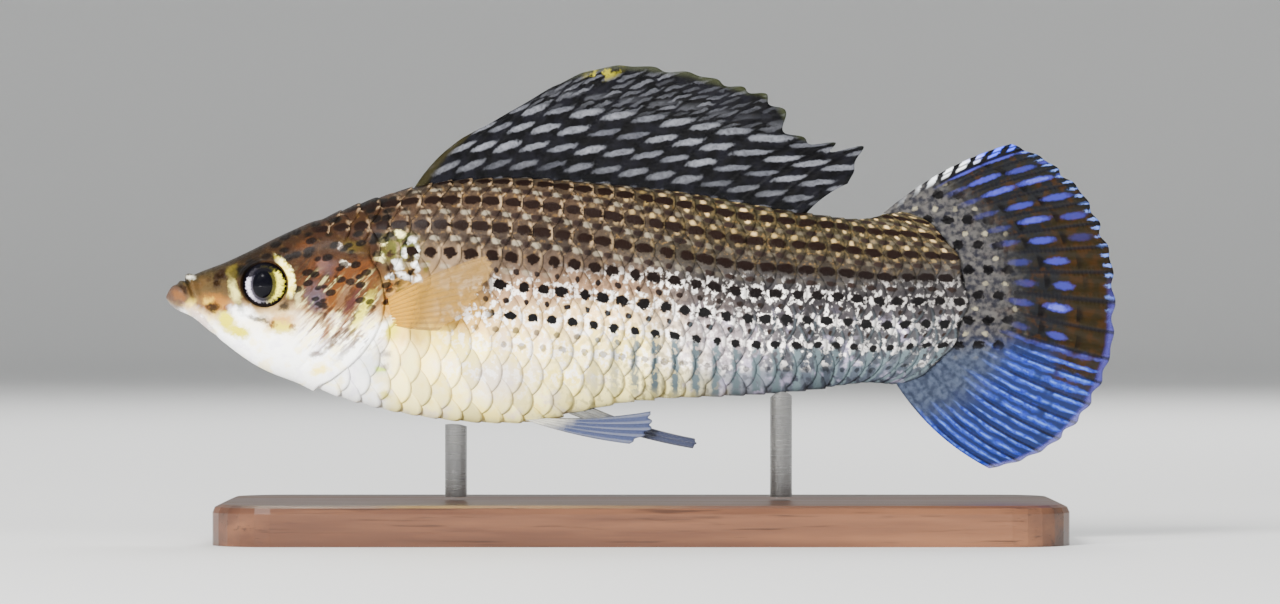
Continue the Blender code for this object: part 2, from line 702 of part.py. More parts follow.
def main():
    for obj in list(bpy.data.objects):
        bpy.data.objects.remove(obj)
    body()
    for side, label in ((-1, "left"), (1, "right")):
        eye("eye_" + label, side)
        gill_cover("gill_cover_" + label, side)
        pectoral_fin("pectoral_fin_" + label, side)
        pelvic_fin("pelvic_fin_" + label, side)
    dorsal_fin()
    tail_fin()
    gonopodium()
    stand_base()
    for name, s in ROD_STATIONS.items():
        stand_rod(name, s)


main()
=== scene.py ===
"""The looks of a life-size sailfin molly model: skin, scales, eyes, fins and its display stand.

Sizes are in millimetres in the fish's own side view, where s runs back from the tip of the jaw,
h runs up from the body's long axis and y runs out to its sides. World places are in metres.
"""

import math
import random
from functools import partial

import bpy
import numpy as np
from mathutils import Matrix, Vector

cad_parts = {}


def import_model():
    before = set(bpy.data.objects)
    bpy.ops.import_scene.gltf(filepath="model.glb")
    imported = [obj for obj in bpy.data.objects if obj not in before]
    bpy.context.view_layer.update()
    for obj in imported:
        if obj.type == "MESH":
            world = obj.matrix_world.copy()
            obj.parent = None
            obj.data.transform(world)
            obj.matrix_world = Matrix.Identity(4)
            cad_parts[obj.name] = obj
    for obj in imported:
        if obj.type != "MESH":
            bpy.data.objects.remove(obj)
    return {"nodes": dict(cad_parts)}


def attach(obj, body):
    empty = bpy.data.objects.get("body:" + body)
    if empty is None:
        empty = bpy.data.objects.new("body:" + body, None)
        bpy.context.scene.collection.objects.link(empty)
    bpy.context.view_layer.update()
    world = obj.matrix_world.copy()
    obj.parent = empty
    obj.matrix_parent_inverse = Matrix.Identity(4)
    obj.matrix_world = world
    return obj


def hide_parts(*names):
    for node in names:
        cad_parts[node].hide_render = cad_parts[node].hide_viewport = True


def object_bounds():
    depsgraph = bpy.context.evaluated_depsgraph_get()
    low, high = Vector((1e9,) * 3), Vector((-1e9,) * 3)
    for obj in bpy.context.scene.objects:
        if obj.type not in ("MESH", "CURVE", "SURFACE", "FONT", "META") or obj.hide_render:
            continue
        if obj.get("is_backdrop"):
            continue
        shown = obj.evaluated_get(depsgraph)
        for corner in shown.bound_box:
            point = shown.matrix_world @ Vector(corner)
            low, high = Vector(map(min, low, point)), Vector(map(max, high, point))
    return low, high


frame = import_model()
solid_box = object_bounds()

MM = 0.001
SEED = 7

# The solids' own sizes, which every piece is fitted to
TOTAL_LENGTH = 95.0
GAP = 0.3
FAN_CENTRE = (79.8, -0.65)
FAN_REACH = 15.2
FAN_HALF_SPAN = 16.6
FAN_POWER = 2.2
AXIS_HEIGHT = 24.25
BACK = (
    (0.0, 0.35), (0.6, 1.1), (1.7, 1.7), (3.2, 2.45), (5.8, 3.45), (8.5, 4.7), (11.0, 5.95),
    (15.2, 7.85), (19.4, 9.6), (24.3, 11.05), (28.0, 11.75), (33.0, 12.1), (39.0, 11.95),
    (45.0, 11.45), (52.1, 10.65), (58.5, 9.55), (64.9, 8.45), (70.0, 8.0), (73.0, 8.7), (82.0, 10.4),
)
BELLY = (
    (0.0, -0.25), (0.8, -1.0), (2.6, -1.9), (4.7, -3.6), (8.9, -6.7), (14.2, -8.9),
    (19.0, -10.6), (25.8, -12.1), (33.3, -12.7), (37.0, -12.55), (41.0, -11.7), (45.7, -10.65),
    (53.0, -10.15), (59.0, -9.85), (65.0, -9.3), (71.0, -8.6), (73.0, -8.8), (82.0, -10.4),
)
HALF_WIDTH = (
    (0.0, 0.7), (0.7, 1.55), (2.2, 2.25), (5.0, 3.1), (10.0, 4.15), (15.0, 5.0), (21.0, 5.75),
    (30.0, 6.35), (38.0, 6.1), (46.0, 5.1), (56.0, 3.95), (66.0, 2.85), (73.0, 1.8),
    (79.0, 0.75), (82.0, 0.55),
)
WIDEST_LINE = (
    (0.0, 0.0), (4.0, 0.6), (10.0, 0.3), (20.0, -1.2), (34.0, -2.2), (50.0, -0.6), (82.0, 0.0),
)
SIDE_POWER = ((0.0, 2.3), (8.0, 2.5), (18.0, 2.2), (40.0, 2.05), (82.0, 2.0))
CROWN_POWER = ((0.0, 2.2), (8.0, 2.9), (16.0, 2.5), (30.0, 2.0), (60.0, 1.9), (82.0, 2.4))
GILL_LINE = (
    (24.6, 16.0), (23.4, 9.5), (21.4, 6.2), (20.5, 4.4), (21.6, 2.2), (22.05, -0.6),
    (21.3, -3.4), (19.4, -6.0), (16.9, -8.0), (14.8, -9.4), (13.2, -14.0),
)
TAIL_ROOT_CENTRE = (70.8, 0.1)
TAIL_ROOT_RADIUS = 9.1
EYE_CENTRE = (10.0, 1.3)
EYE_RADIUS = 2.3
EYE_HALF_DEPTH = 1.4
EYE_PROUD = 0.5
NOSTRILS = ((5.6, 2.3, 0.22), (5.25, 1.5, 0.18))
DORSAL_RAYS = 15
DORSAL_WAVE = 0.55
DORSAL_BOW = (0.10, 0.10)
DORSAL_BASE = (25.2, 64.4)
DORSAL_TIPS = (
    (0.0, 29.7, 16.0), (0.08, 34.2, 18.5), (0.23, 41.9, 22.6), (0.31, 45.9, 23.3),
    (0.38, 49.7, 23.0), (0.54, 56.6, 21.4), (0.69, 61.6, 19.3), (0.77, 63.6, 16.2),
    (0.85, 67.2, 15.5), (0.92, 69.9, 15.0), (1.0, 68.2, 11.4),
)
TAIL_RAYS = 18
TAIL_WAVE = 0.45
TAIL_ROOT_ANGLES = (78.0, -75.0)
TAIL_TIP_ANGLES = (74.0, -82.0)
TAIL_BOW = (0.10, -0.13)
PECTORAL_RAYS = 10
PECTORAL_BOW = (0.06, -0.04)
PECTORAL_ROOT = ((23.3, 0.5), (24.0, -3.0))
PECTORAL_TIPS = (
    (0.0, 32.2, 4.1), (0.18, 33.0, 3.2), (0.45, 32.0, 0.9), (0.73, 30.3, -1.3), (1.0, 27.5, -3.3),
)
PECTORAL_LIFT = 1.7
PELVIC_RAYS = 5
PELVIC_BOW = (-0.05, -0.05)
PELVIC_ROOT_S = (37.0, 39.4)
PELVIC_Y = (1.45, 2.0)
PELVIC_TIPS = ((0.0, 46.4, -14.6), (0.4, 48.4, -13.4), (1.0, 48.5, -11.4))
GONOPODIUM_RAYS = 3
GONOPODIUM_ROOT_S = (41.2, 43.6)
GONOPODIUM_TIPS = ((0.0, 52.7, -15.1), (0.5, 53.1, -14.6), (1.0, 52.9, -14.1))

# Stations u along the body: u is s as far as the tail stalk, where the rings start to bend
# until the last one follows the round end of the stalk
BEND_START = 66.0
BODY_END = 79.9
NOSE_ROUNDING = 0.5
TABLE_SHARES = 161
TABLE_TURNS = 361
TABLE_ROUNDS = 24
TABLE_STATIONS = ((0.02, 4.0, 61), (4.0, 24.0, 101), (24.0, BODY_END + 1.5, 145))
SKIN_STATIONS = ((0.03, 4.0, 80), (4.0, 23.0, 158), (23.0, BODY_END, 126))

# Scales
COAT_DEPTH = 0.30
TAIL_COAT_DEPTH = 0.13
PITCH = 2.02
SPOT_PHASE = 39.8
SPOT_BEFORE_EDGE = 1.0
SCALE_LENGTH = 3.3
SCALE_HALF_HEIGHT = 2.75
SCALE_EDGE_RADIUS = 3.1
SCALE_RISE = 0.070
SCALE_SINK = 0.05
SCALE_THICKNESS = (0.02, 0.05)
SCALE_GRID = (9, 15)
SCALE_ROOT_BOW = 0.4
SCALE_DOME = 0.03
SCALE_TILT = 0.004
SCALE_TURN = 2.0
SCALE_LEAN = 0.010
SCALE_SIZES = (0.96, 1.03)
SCALE_PATCH = 0.003
SCALE_ROWS = (-2, 13)
SCALE_COLUMNS = (-14, 21)
ROW_MARGIN = 0.3
FIRST_EDGE = 14.0
LAST_OVERHANG = 0.9
MIDDLE_ROW = 4
MIDDLE_ROW_LINE = (
    (12.0, 2.6), (20.0, 2.1), (28.4, 1.65), (33.4, 1.25), (43.4, 0.05), (53.4, -1.45), (57.7, -2.05),
    (61.9, -2.2), (68.4, -2.5), (76.0, -2.65), (80.0, -2.65),
)
ROW_SPACING = ((12.0, 2.35), (20.0, 2.65), (28.0, 2.9), (43.0, 2.87), (68.0, 2.45), (80.0, 2.3))
FOREMOST_SCALES = ((14.0, 9.0), (15.5, 7.0), (18.0, 5.6), (20.7, 4.6), *GILL_LINE[4:])


def tint(red, green, blue):
    """A display colour from 0 to 255, as the linear colour that a shader takes."""
    return tuple(((c / 255 + 0.055) / 1.055) ** 2.4 for c in (red, green, blue))


def between(first, last, share):
    """A value that runs evenly from one end to the other."""
    return first + (last - first) * share


def smooth(points, at):
    """A smooth curve through (place, value) pairs, read at one place or at several."""
    place, value = np.array(points, float).T
    slope = np.gradient(value, place)
    at = np.clip(np.asarray(at, float), place[0], place[-1])
    k = np.clip(np.searchsorted(place, at) - 1, 0, len(place) - 2)
    step = place[k + 1] - place[k]
    t = (at - place[k]) / step
    return (
        value[k] * (2 * t**3 - 3 * t**2 + 1)
        + slope[k] * step * (t**3 - 2 * t**2 + t)
        + value[k + 1] * (3 * t**2 - 2 * t**3)
        + slope[k + 1] * step * (t**3 - t**2)
    )


def smooth_path(points, at):
    """A smooth path through (share, s, h) rows, read at a share of the way."""
    rows = np.array(points, float)
    return np.stack([smooth(rows[:, [0, k]], at) for k in (1, 2)], axis=-1)


def evenly(points, count):
    """count places along a smooth path through (s, h) points."""
    rows = [(k, s, h) for k, (s, h) in enumerate(points)]
    return smooth_path(rows, np.linspace(0, len(points) - 1, count))


def ease(x, low, high):
    """0 below low and 1 above high, with a smooth rise between them. low may be the larger."""
    t = np.clip((x - low) / (high - low), 0, 1)
    return t * t * (3 - 2 * t)


def bump(x, centre, width):
    """A bell curve of height 1."""
    return np.exp(-(((x - centre) / width) ** 2))


def world(s, y, h):
    """World place, in metres, of a place in the fish's own frame."""
    s, y, h = np.broadcast_arrays(s, y, h)
    return np.stack([s - TOTAL_LENGTH / 2, y, h + AXIS_HEIGHT], axis=-1) * MM


def half_width_at(s, h):
    """How far the flank stands out from the midplane at a place in the side view."""
    top, low, mid = smooth(BACK, s), smooth(BELLY, s), smooth(WIDEST_LINE, s)
    share = np.where(h > mid, (h - mid) / (top - mid), (mid - h) / (mid - low))
    p, q = smooth(SIDE_POWER, s), smooth(CROWN_POWER, s)
    rest = np.clip(1 - np.clip(share, 0, 1) ** q, 0, 1)
    return smooth(HALF_WIDTH, s) * rest ** (1 / p)


def belly_at(s, y):
    """Height of the body's underside at a distance y from the midplane."""
    low, mid = smooth(BELLY, s), smooth(WIDEST_LINE, s)
    p, q = smooth(SIDE_POWER, s), smooth(CROWN_POWER, s)
    share = np.clip(1 - (abs(y) / smooth(HALF_WIDTH, s)) ** p, 0, 1) ** (1 / q)
    return mid - (mid - low) * share


def stalk_end(h):
    """Where the round end of the tail stalk lies at a height."""
    rise = np.clip(TAIL_ROOT_RADIUS**2 - (h - TAIL_ROOT_CENTRE[1]) ** 2, 0, None)
    return TAIL_ROOT_CENTRE[0] + np.sqrt(rise)


def stations(stretches):
    """Places along the body over stretches of (first, last, count) that follow each other."""
    runs = [np.linspace(*stretch) for stretch in stretches]
    return np.concatenate([runs[0], *(run[1:] for run in runs[1:])])


def station_to_s(u, h):
    """The place along the fish of a station at a height."""
    share = (u - BEND_START) / (BODY_END - BEND_START)
    return np.where(u < BEND_START, u, between(BEND_START, stalk_end(h), share))


def s_to_station(s, h):
    """The station that passes through a place in the side view."""
    share = (s - BEND_START) / (stalk_end(h) - BEND_START)
    return np.where(s < BEND_START, s, between(BEND_START, BODY_END, share))


class Surface:
    """The body's surface as a table over stations u and shares g of the half-girth.

    g runs from 0 on the back to 1 on the belly. Places are (s, y, h) on the right side.
    """

    def __init__(self):
        self.u = stations(TABLE_STATIONS)
        self.shares = np.linspace(0, 1, TABLE_SHARES)
        angle = np.linspace(math.pi / 2, -math.pi / 2, TABLE_TURNS)
        u = self.u[:, None]
        s = u + 0 * angle
        for _ in range(TABLE_ROUNDS):
            p, q = smooth(SIDE_POWER, s), smooth(CROWN_POWER, s)
            rise = np.sign(np.sin(angle)) * np.abs(np.sin(angle)) ** (2 / q)
            top, low, mid = smooth(BACK, s), smooth(BELLY, s), smooth(WIDEST_LINE, s)
            h = mid + np.where(rise > 0, rise * (top - mid), rise * (mid - low))
            s = between(s, station_to_s(u, h), 0.5)
        y = smooth(HALF_WIDTH, s) * np.abs(np.cos(angle)) ** (2 / p)
        nose = np.sqrt(1 - (1 - np.clip(u / NOSE_ROUNDING, 0, 1)) ** 2)
        ring = np.stack([s, y * nose, mid + (h - mid) * nose], axis=-1)
        steps = np.linalg.norm(np.diff(ring, axis=1), axis=2)
        run = np.concatenate([np.zeros((len(u), 1)), np.cumsum(steps, axis=1)], axis=1)
        self.girth = run[:, -1]
        self.place = np.zeros((len(u), TABLE_SHARES, 3))
        for i in range(len(u)):
            for k in range(3):
                self.place[i, :, k] = np.interp(self.shares * self.girth[i], run[i], ring[i, :, k])
        along, down = np.gradient(self.place, axis=0), np.gradient(self.place, axis=1)
        self.normal = np.cross(along, down)
        self.normal[:, [0, -1], 1] = 0
        self.normal /= np.linalg.norm(self.normal, axis=2)[..., None]
        if self.normal[len(u) // 2, TABLE_SHARES // 2, 1] < 0:
            self.normal = -self.normal

    def at(self, u, g):
        """Places and outward normals at stations u and girth shares g."""
        i = np.interp(u, self.u, np.arange(len(self.u)))
        j = np.clip(g, 0, 1) * (TABLE_SHARES - 1)
        i0 = np.clip(i.astype(int), 0, len(self.u) - 2)
        j0 = np.clip(j.astype(int), 0, TABLE_SHARES - 2)
        a, b = (i - i0)[..., None], (j - j0)[..., None]
        found = []
        for table in (self.place, self.normal):
            first = between(table[i0, j0], table[i0, j0 + 1], b)
            found.append(between(first, between(table[i0 + 1, j0], table[i0 + 1, j0 + 1], b), a))
        found[1] /= np.linalg.norm(found[1], axis=-1)[..., None]
        return found

    def girth_at(self, u):
        return np.interp(u, self.u, self.girth)

    def arc_at(self, s, h):
        """Distance down the half-girth from the back to a place in the side view."""
        u = float(s_to_station(s, h))
        i = int(np.argmin(np.abs(self.u - u)))
        g = np.interp(-h, -self.place[i, :, 2], self.shares)
        return g * self.girth_at(u)


body = Surface()
middle_arc = tuple((float(s_to_station(s, h)), body.arc_at(s, h)) for s, h in MIDDLE_ROW_LINE)


def row_arc(row, u):
    """Distance of a row of scales from the back, down the half-girth."""
    return smooth(middle_arc, u) + (row - MIDDLE_ROW) * smooth(ROW_SPACING, u)


def lattice(u, g):
    """Place in the lattice of scales: columns along the body and rows down from the back."""
    arc = g * body.girth_at(u)
    row = MIDDLE_ROW + (arc - smooth(middle_arc, u)) / smooth(ROW_SPACING, u)
    return np.stack([(u - SPOT_PHASE) / PITCH, row, 0 * u], axis=-1)


def off_line(points, s, h, count=90):
    """Distance behind a line in the side view, negative in front of it. The line runs down."""
    line = evenly(points, count)
    ahead = np.gradient(line, axis=0)
    shape = s.shape
    s, h = s.ravel(), h.ravel()
    nearest = np.argmin((s[:, None] - line[:, 0]) ** 2 + (h[:, None] - line[:, 1]) ** 2, axis=1)
    ds, dh = s - line[nearest, 0], h - line[nearest, 1]
    way = ahead[nearest] / np.linalg.norm(ahead[nearest], axis=1)[:, None]
    return (dh * way[:, 0] - ds * way[:, 1]).reshape(shape)


def coat_depth(u):
    """How far the skin lies inside the solids to leave room for the scales."""
    return between(COAT_DEPTH, TAIL_COAT_DEPTH, ease(u, 56.0, 79.0))


def make_mesh(name, points, faces):
    """A mesh from world points and arrays of faces, smooth-shaded."""
    mesh = bpy.data.meshes.new(name)
    corners = np.concatenate([part.ravel() for part in faces])
    sizes = np.concatenate([np.full(len(part), part.shape[1]) for part in faces])
    mesh.vertices.add(len(points))
    mesh.vertices.foreach_set("co", np.ascontiguousarray(points, np.float32).ravel())
    mesh.loops.add(len(corners))
    mesh.loops.foreach_set("vertex_index", corners.astype(np.int32))
    mesh.polygons.add(len(sizes))
    starts = np.concatenate([[0], np.cumsum(sizes)[:-1]])
    mesh.polygons.foreach_set("loop_start", starts.astype(np.int32))
    mesh.update(calc_edges=True)
    mesh.validate()
    mesh.shade_smooth()
    return mesh


def add_attribute(mesh, name, values):
    """A vector for each point, which the materials read."""
    layer = mesh.attributes.new(name, "FLOAT_VECTOR", "POINT")
    layer.data.foreach_set("vector", np.ascontiguousarray(values, np.float32).ravel())


def add_uv(mesh, name, values):
    """A UV map from one place for each point."""
    corners = np.zeros(len(mesh.loops), np.int32)
    mesh.loops.foreach_get("vertex_index", corners)
    layer = mesh.uv_layers.new(name=name)
    layer.data.foreach_set("uv", np.ascontiguousarray(values[corners], np.float32).ravel())


def add_piece(mesh, material, slot, replaces=()):
    """A piece of the model that rides on its one body."""
    piece = bpy.data.objects.new(mesh.name, mesh)
    bpy.context.scene.collection.objects.link(piece)
    mesh.materials.append(material)
    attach(piece, "root")
    if replaces:
        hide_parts(*replaces)
    return piece


def grid_faces(rows, columns, first=0, closed=False, flip=False):
    """Quads over a grid of points, which may close on itself across its columns."""
    i, j = np.meshgrid(np.arange(rows - 1), np.arange(columns - (not closed)), indexing="ij")
    k = (j + 1) % columns
    here, beyond = i * columns, (i + 1) * columns
    quads = np.stack([here + j, here + k, beyond + k, beyond + j], -1).reshape(-1, 4) + first
    return quads[:, ::-1] if flip else quads


def shell_faces(rows, columns):
    """Faces of a thin closed shell: a top grid, a bottom grid after it, and the rim."""
    size = rows * columns
    top = grid_faces(rows, columns)
    low = grid_faces(rows, columns, size, flip=True)
    rim = list(range(columns))
    rim += [i * columns + columns - 1 for i in range(1, rows)]
    rim += [(rows - 1) * columns + j for j in range(columns - 2, -1, -1)]
    rim += [i * columns for i in range(rows - 2, 0, -1)]
    rim = np.array(rim)
    after = np.roll(rim, -1)
    return np.concatenate([top, low, np.stack([after, rim, rim + size, after + size], -1)])


def eye_frame(side):
    """Centre of an eye and its axes: along the cheek, out of it, and up it."""
    s, h = EYE_CENTRE
    step = EYE_RADIUS / 2
    slope_s = float(half_width_at(s + step, h) - half_width_at(s - step, h)) / (2 * step)
    slope_h = float(half_width_at(s, h + step) - half_width_at(s, h - step)) / (2 * step)
    outward = np.array([-slope_s, side, -slope_h])
    outward /= np.linalg.norm(outward)
    along = np.cross([0.0, 0.0, side], outward)
    along /= np.linalg.norm(along)
    centre = np.array([s, side * float(half_width_at(s, h)), h])
    centre = centre + outward * (EYE_PROUD - EYE_HALF_DEPTH)
    return centre, (along, outward, np.cross(along, outward))


# Skin relief
MOUTH_FRONT = 1.75
MOUTH_SWEEP = 1.25
MOUTH_CORNER = 0.56
# Waves of the lips: height, place behind the mouth's line and half-width
LIP_WAVES = ((-0.42, 0.0, 0.14), (0.40, 0.52, 0.36), (0.10, -0.36, 0.22), (-0.10, -0.75, 0.3))
JAW_LINE = ((2.9, -0.3), (3.3, -1.4), (4.4, -2.9), (5.4, -4.4))
# A groove along a line: depth and half-width
JAW_GROOVE = (0.13, 0.16)
CHEEK_LINE = ((16.3, 2.8), (16.0, 0.5), (16.2, -2.0), (15.2, -5.0), (13.4, -7.4))
CHEEK_GROOVE = (0.09, 0.2)
SOCKET_DEPTH = 1.3
SOCKET_EDGE = (2.42, 2.1)
ORBIT_RIDGE = (0.15, 2.68, 0.28)
NOSTRIL_DEPTH = 0.4
NOSTRIL_RIM = 0.05
GILL_LIP = 0.25
GILL_GROOVE = (0.3, 0.27, 0.16)
SKIN_SHARES = 101
UV_SPAN = (82.0, 0.97, 0.96)


def groove(line, cut, s, h):
    """Depth of a groove along a line in the side view."""
    return cut[0] * bump(off_line(line, s, h), 0.0, cut[1])


def skin_relief(u, g, s, y, h):
    """How far the skin stands out of the solids' surface, in millimetres, on one side."""
    off_mouth = u - (MOUTH_FRONT + MOUTH_SWEEP * np.clip(g / MOUTH_CORNER, 0, 1.2) ** 1.3)
    lips = sum(height * bump(off_mouth, centre, width) for height, centre, width in LIP_WAVES)
    relief = (1 - ease(g, 0.42, 0.66)) * lips
    relief -= groove(JAW_LINE, JAW_GROOVE, s, h) * ease(h, -4.4, -3.4) * ease(h, -0.1, -0.7)
    centre, (along, _, up) = eye_frame(1)
    offset = np.stack([s, y, h], axis=-1) - centre
    off_eye = np.hypot(offset @ along, offset @ up)
    height, radius, width = ORBIT_RIDGE
    relief += height * bump(off_eye, radius, width) - SOCKET_DEPTH * ease(off_eye, *SOCKET_EDGE)
    for ns, nh, radius in NOSTRILS:
        off = np.hypot(s - ns, h - nh)
        relief += NOSTRIL_RIM * bump(off, 2 * radius, 0.5 * radius) - NOSTRIL_DEPTH * bump(off, 0.0, radius)
    relief -= groove(CHEEK_LINE, CHEEK_GROOVE, s, h) * ease(h, -7.6, -6.6) * ease(h, 2.9, 2.0)
    behind = off_line(GILL_LINE, s, h)
    cover = ease(h, 5.3, 4.2) * ease(s, 12.5, 15.5)
    lip = ease(behind, -4.6, -0.4) * ease(behind, 0.17, -0.05)
    depth, place, width = GILL_GROOVE
    relief += cover * (GILL_LIP * lip - depth * bump(behind, place, width))
    covered = np.where(h > 4.6, ease(off_line(FOREMOST_SCALES, s, h), -0.6, 1.6), ease(behind, 0.0, 0.25))
    return relief - coat_depth(u) * covered


def skin_place(u, g):
    """Where a place on the unwrapped skin lies in its UV map, for the right side."""
    return u / UV_SPAN[0] * UV_SPAN[1] + 0.01, g / 2 * UV_SPAN[2]


def add_skin(material):
    """One continuous skin over the whole body, with lips, nostrils, sockets and gill covers."""
    u, g = np.meshgrid(stations(SKIN_STATIONS), np.linspace(0, 1, SKIN_SHARES), indexing="ij")
    place, normal = body.at(u, g)
    place = place + normal * skin_relief(u, g, *np.moveaxis(place, -1, 0))[..., None]
    flipped = np.array([1, -1, 1])
    ring = np.concatenate([place, place[:, -2:0:-1] * flipped], axis=1)
    u, g = np.concatenate([u, u[:, -2:0:-1]], 1), np.concatenate([g, g[:, -2:0:-1]], 1)
    rows, columns = ring.shape[:2]
    points = world(*np.moveaxis(ring, -1, 0)).reshape(-1, 3)
    points = np.concatenate([points, [points[:columns].mean(0), points[-columns:].mean(0)]])
    k = np.arange(columns)
    after, last = (k + 1) % columns, (rows - 1) * columns
    caps = [
        np.stack([np.full(columns, rows * columns), after, k], -1),
        np.stack([np.full(columns, rows * columns + 1), last + k, last + after], -1),
    ]
    mesh = make_mesh("skin", points, [grid_faces(rows, columns, closed=True), *caps])

    def each(values):
        values = values.reshape(-1, values.shape[-1])
        return np.concatenate([values, values[:1], values[-1:]])

    add_attribute(mesh, "place", each(np.stack([ring[..., 0], g, ring[..., 2]], -1)))
    add_attribute(mesh, "lattice", each(lattice(u, g)))
    far, down = skin_place(u, g)
    down = np.where(np.arange(columns) < SKIN_SHARES, 0.5 + down, 0.5 - down)
    add_uv(mesh, "Unwrap", each(np.stack([far, down], -1)))
    nodes = ("head", "lower_jaw", "gill_cover_left", "gill_cover_right", "trunk", "tail_stalk")
    return add_piece(mesh, material, "flesh", nodes)


def scale_places():
    """Rear edge station and row of every scale on one side."""
    places = []
    for row in range(*SCALE_ROWS):
        for column in range(*SCALE_COLUMNS):
            u = SPOT_PHASE + (column + 0.5 * (row % 2)) * PITCH + SPOT_BEFORE_EDGE
            girth = float(body.girth_at(u - SPOT_BEFORE_EDGE))
            arc = float(row_arc(row, u - SPOT_BEFORE_EDGE))
            on_body = ROW_MARGIN < arc < girth - ROW_MARGIN
            if not on_body or not FIRST_EDGE < u < BODY_END + LAST_OVERHANG:
                continue
            middle = body.at(np.array([u - SPOT_BEFORE_EDGE]), np.array([arc / girth]))[0][0]
            if off_line(FOREMOST_SCALES, middle[[0]], middle[[2]])[0] > -0.2:
                places.append((u, row))
    return places


def scale_shell(draw, number, edge_u, row, along, across):
    """One scale on the right side: its points, and for each the values that materials read."""
    centre = row_arc(row, edge_u - SPOT_BEFORE_EDGE)
    room = body.girth_at(edge_u - SPOT_BEFORE_EDGE) - centre
    v = np.clip(across * SCALE_HALF_HEIGHT, -centre, room)
    off_middle = (v / SCALE_HALF_HEIGHT) ** 2
    edge = np.sqrt(SCALE_EDGE_RADIUS**2 - v**2) - SCALE_EDGE_RADIUS
    back = between(-SCALE_LENGTH + SCALE_ROOT_BOW * off_middle, edge, along)
    turn = math.radians(draw.uniform(-SCALE_TURN, SCALE_TURN))
    lean, size = draw.uniform(-SCALE_LEAN, SCALE_LEAN), draw.uniform(*SCALE_SIZES)
    u = edge_u + (back + v * math.sin(turn)) * size
    g = np.clip((row_arc(row, u) + v * size) / body.girth_at(u), 0.0, 1.0)
    place, normal = body.at(u, g)
    depth = coat_depth(u)[..., None]
    rise = (SCALE_RISE + lean) * (back + SCALE_LENGTH) - SCALE_SINK
    rise = rise + SCALE_DOME * (1 - off_middle) + SCALE_TILT * v * math.sin(number)
    thick = between(*SCALE_THICKNESS, along**0.7)
    low = place + normal * (rise[..., None] * depth / COAT_DEPTH - depth)
    top = low + normal * (thick[..., None] * depth / COAT_DEPTH)
    far, down = skin_place(edge_u - SCALE_LENGTH, centre / body.girth_at(edge_u))
    values = (
        np.stack([place[..., 0], g, place[..., 2]], -1),
        lattice(u, g),
        np.stack([edge - back, v, np.full(v.shape, draw.random())], -1),
        np.stack([far + SCALE_PATCH * along, down + 0 * along, SCALE_PATCH * (across + 1) / 2], -1),
    )
    points = np.concatenate([top.reshape(-1, 3), low.reshape(-1, 3)])
    return points, [np.tile(rows.reshape(-1, 3), (2, 1)) for rows in values]


def add_scales(side, label, material):
    """The coat of one side: overlapping scales, each a thin closed shell rising to its rear edge."""
    draw = random.Random(SEED + side)
    rows, columns = SCALE_GRID
    along, across = np.meshgrid(np.linspace(0, 1, rows), np.linspace(-1, 1, columns), indexing="ij")
    faces = shell_faces(rows, columns)
    points, values, quads = [], [], []
    for number, (edge_u, row) in enumerate(scale_places()):
        shell, read = scale_shell(draw, number, edge_u, row, along, across)
        shell[:, 1] *= side
        quads.append(faces + number * len(shell))
        points.append(world(*shell.T))
        values.append(read)
    quads = np.concatenate(quads)
    mesh = make_mesh("scales_" + label, np.concatenate(points), [quads if side > 0 else quads[:, ::-1]])
    places, cells, shapes, maps = (np.concatenate(rows) for rows in zip(*values))
    add_attribute(mesh, "place", places)
    add_attribute(mesh, "lattice", cells)
    add_attribute(mesh, "scale", shapes)
    add_uv(mesh, "OFBake", np.stack([maps[:, 0], 0.5 + side * maps[:, 1] + maps[:, 2]], -1))
    return add_piece(mesh, material, "flesh")


# Eyes
PUPIL = (1.02, 1.36)
PUPIL_BULGE = 0.22
IRIS_DISH = (0.07, 1.25, 0.25)
EYE_LEANS = ((90, 20, 71), (15, -90, 22))
EYE_TURNS = 96


def add_eye(side, label, material):
    """A flattened eyeball with a lens that bulges at the pupil and a shallow dish round it."""
    centre, axes = eye_frame(side)
    lean = np.radians(np.concatenate([np.linspace(*span) for span in EYE_LEANS]))[:, None]
    turn = (np.arange(EYE_TURNS) * 2 * math.pi / EYE_TURNS)[None, :]
    x = EYE_RADIUS * np.cos(lean) * np.cos(turn)
    z = EYE_RADIUS * np.cos(lean) * np.sin(turn)
    out = EYE_HALF_DEPTH * np.sin(lean) + 0 * turn
    off = np.hypot(x / PUPIL[0], z / PUPIL[1])
    lens = PUPIL_BULGE * np.sqrt(np.clip(1 - off**2, 0, 1))
    out = out + np.where(out > 0, lens - IRIS_DISH[0] * bump(off, *IRIS_DISH[1:]), 0)
    local = np.stack([x, out, z], -1)
    points = world(*np.moveaxis(centre + local @ np.stack(axes), -1, 0)).reshape(-1, 3)
    name = "eye_" + label
    mesh = make_mesh(name, points, [grid_faces(*x.shape, closed=True, flip=side < 0)])
    add_attribute(mesh, "eye", (local * (side, 1, 1)).reshape(-1, 3))
    return add_piece(mesh, material, "eye", (name,))


# Fins
RAY_FOOT = 0.27
RIM_MARGIN = 0.04
# How far a fork spreads, and the shares of the ray where it starts and ends
FORK = (0.21, 0.30, 0.95)
TWIG = (0.10, 0.62, 1.05)
RAY_HALF_WIDTH = (0.23, 0.085)
SIDE_ROUNDING = 0.22
NOTCH_DEPTHS = (0.4, 1.6)
RIM_TAPER = 0.35


class Fin:
    """What a fin's sheet is made from: its rays, its outline and the thickness of web and rays."""

    def __init__(self, rays, root, tip, bow, out, web, ray, measure, **others):
        self.rays, self.root, self.tip, self.bow, self.out = rays, root, tip, bow, out
        self.web, self.ray, self.measure = web, ray, measure
        self.branches = others.get("branches", True)
        self.embed = others.get("embed", 1.0)
        self.ragged = others.get("ragged", (0.35, 0.35))


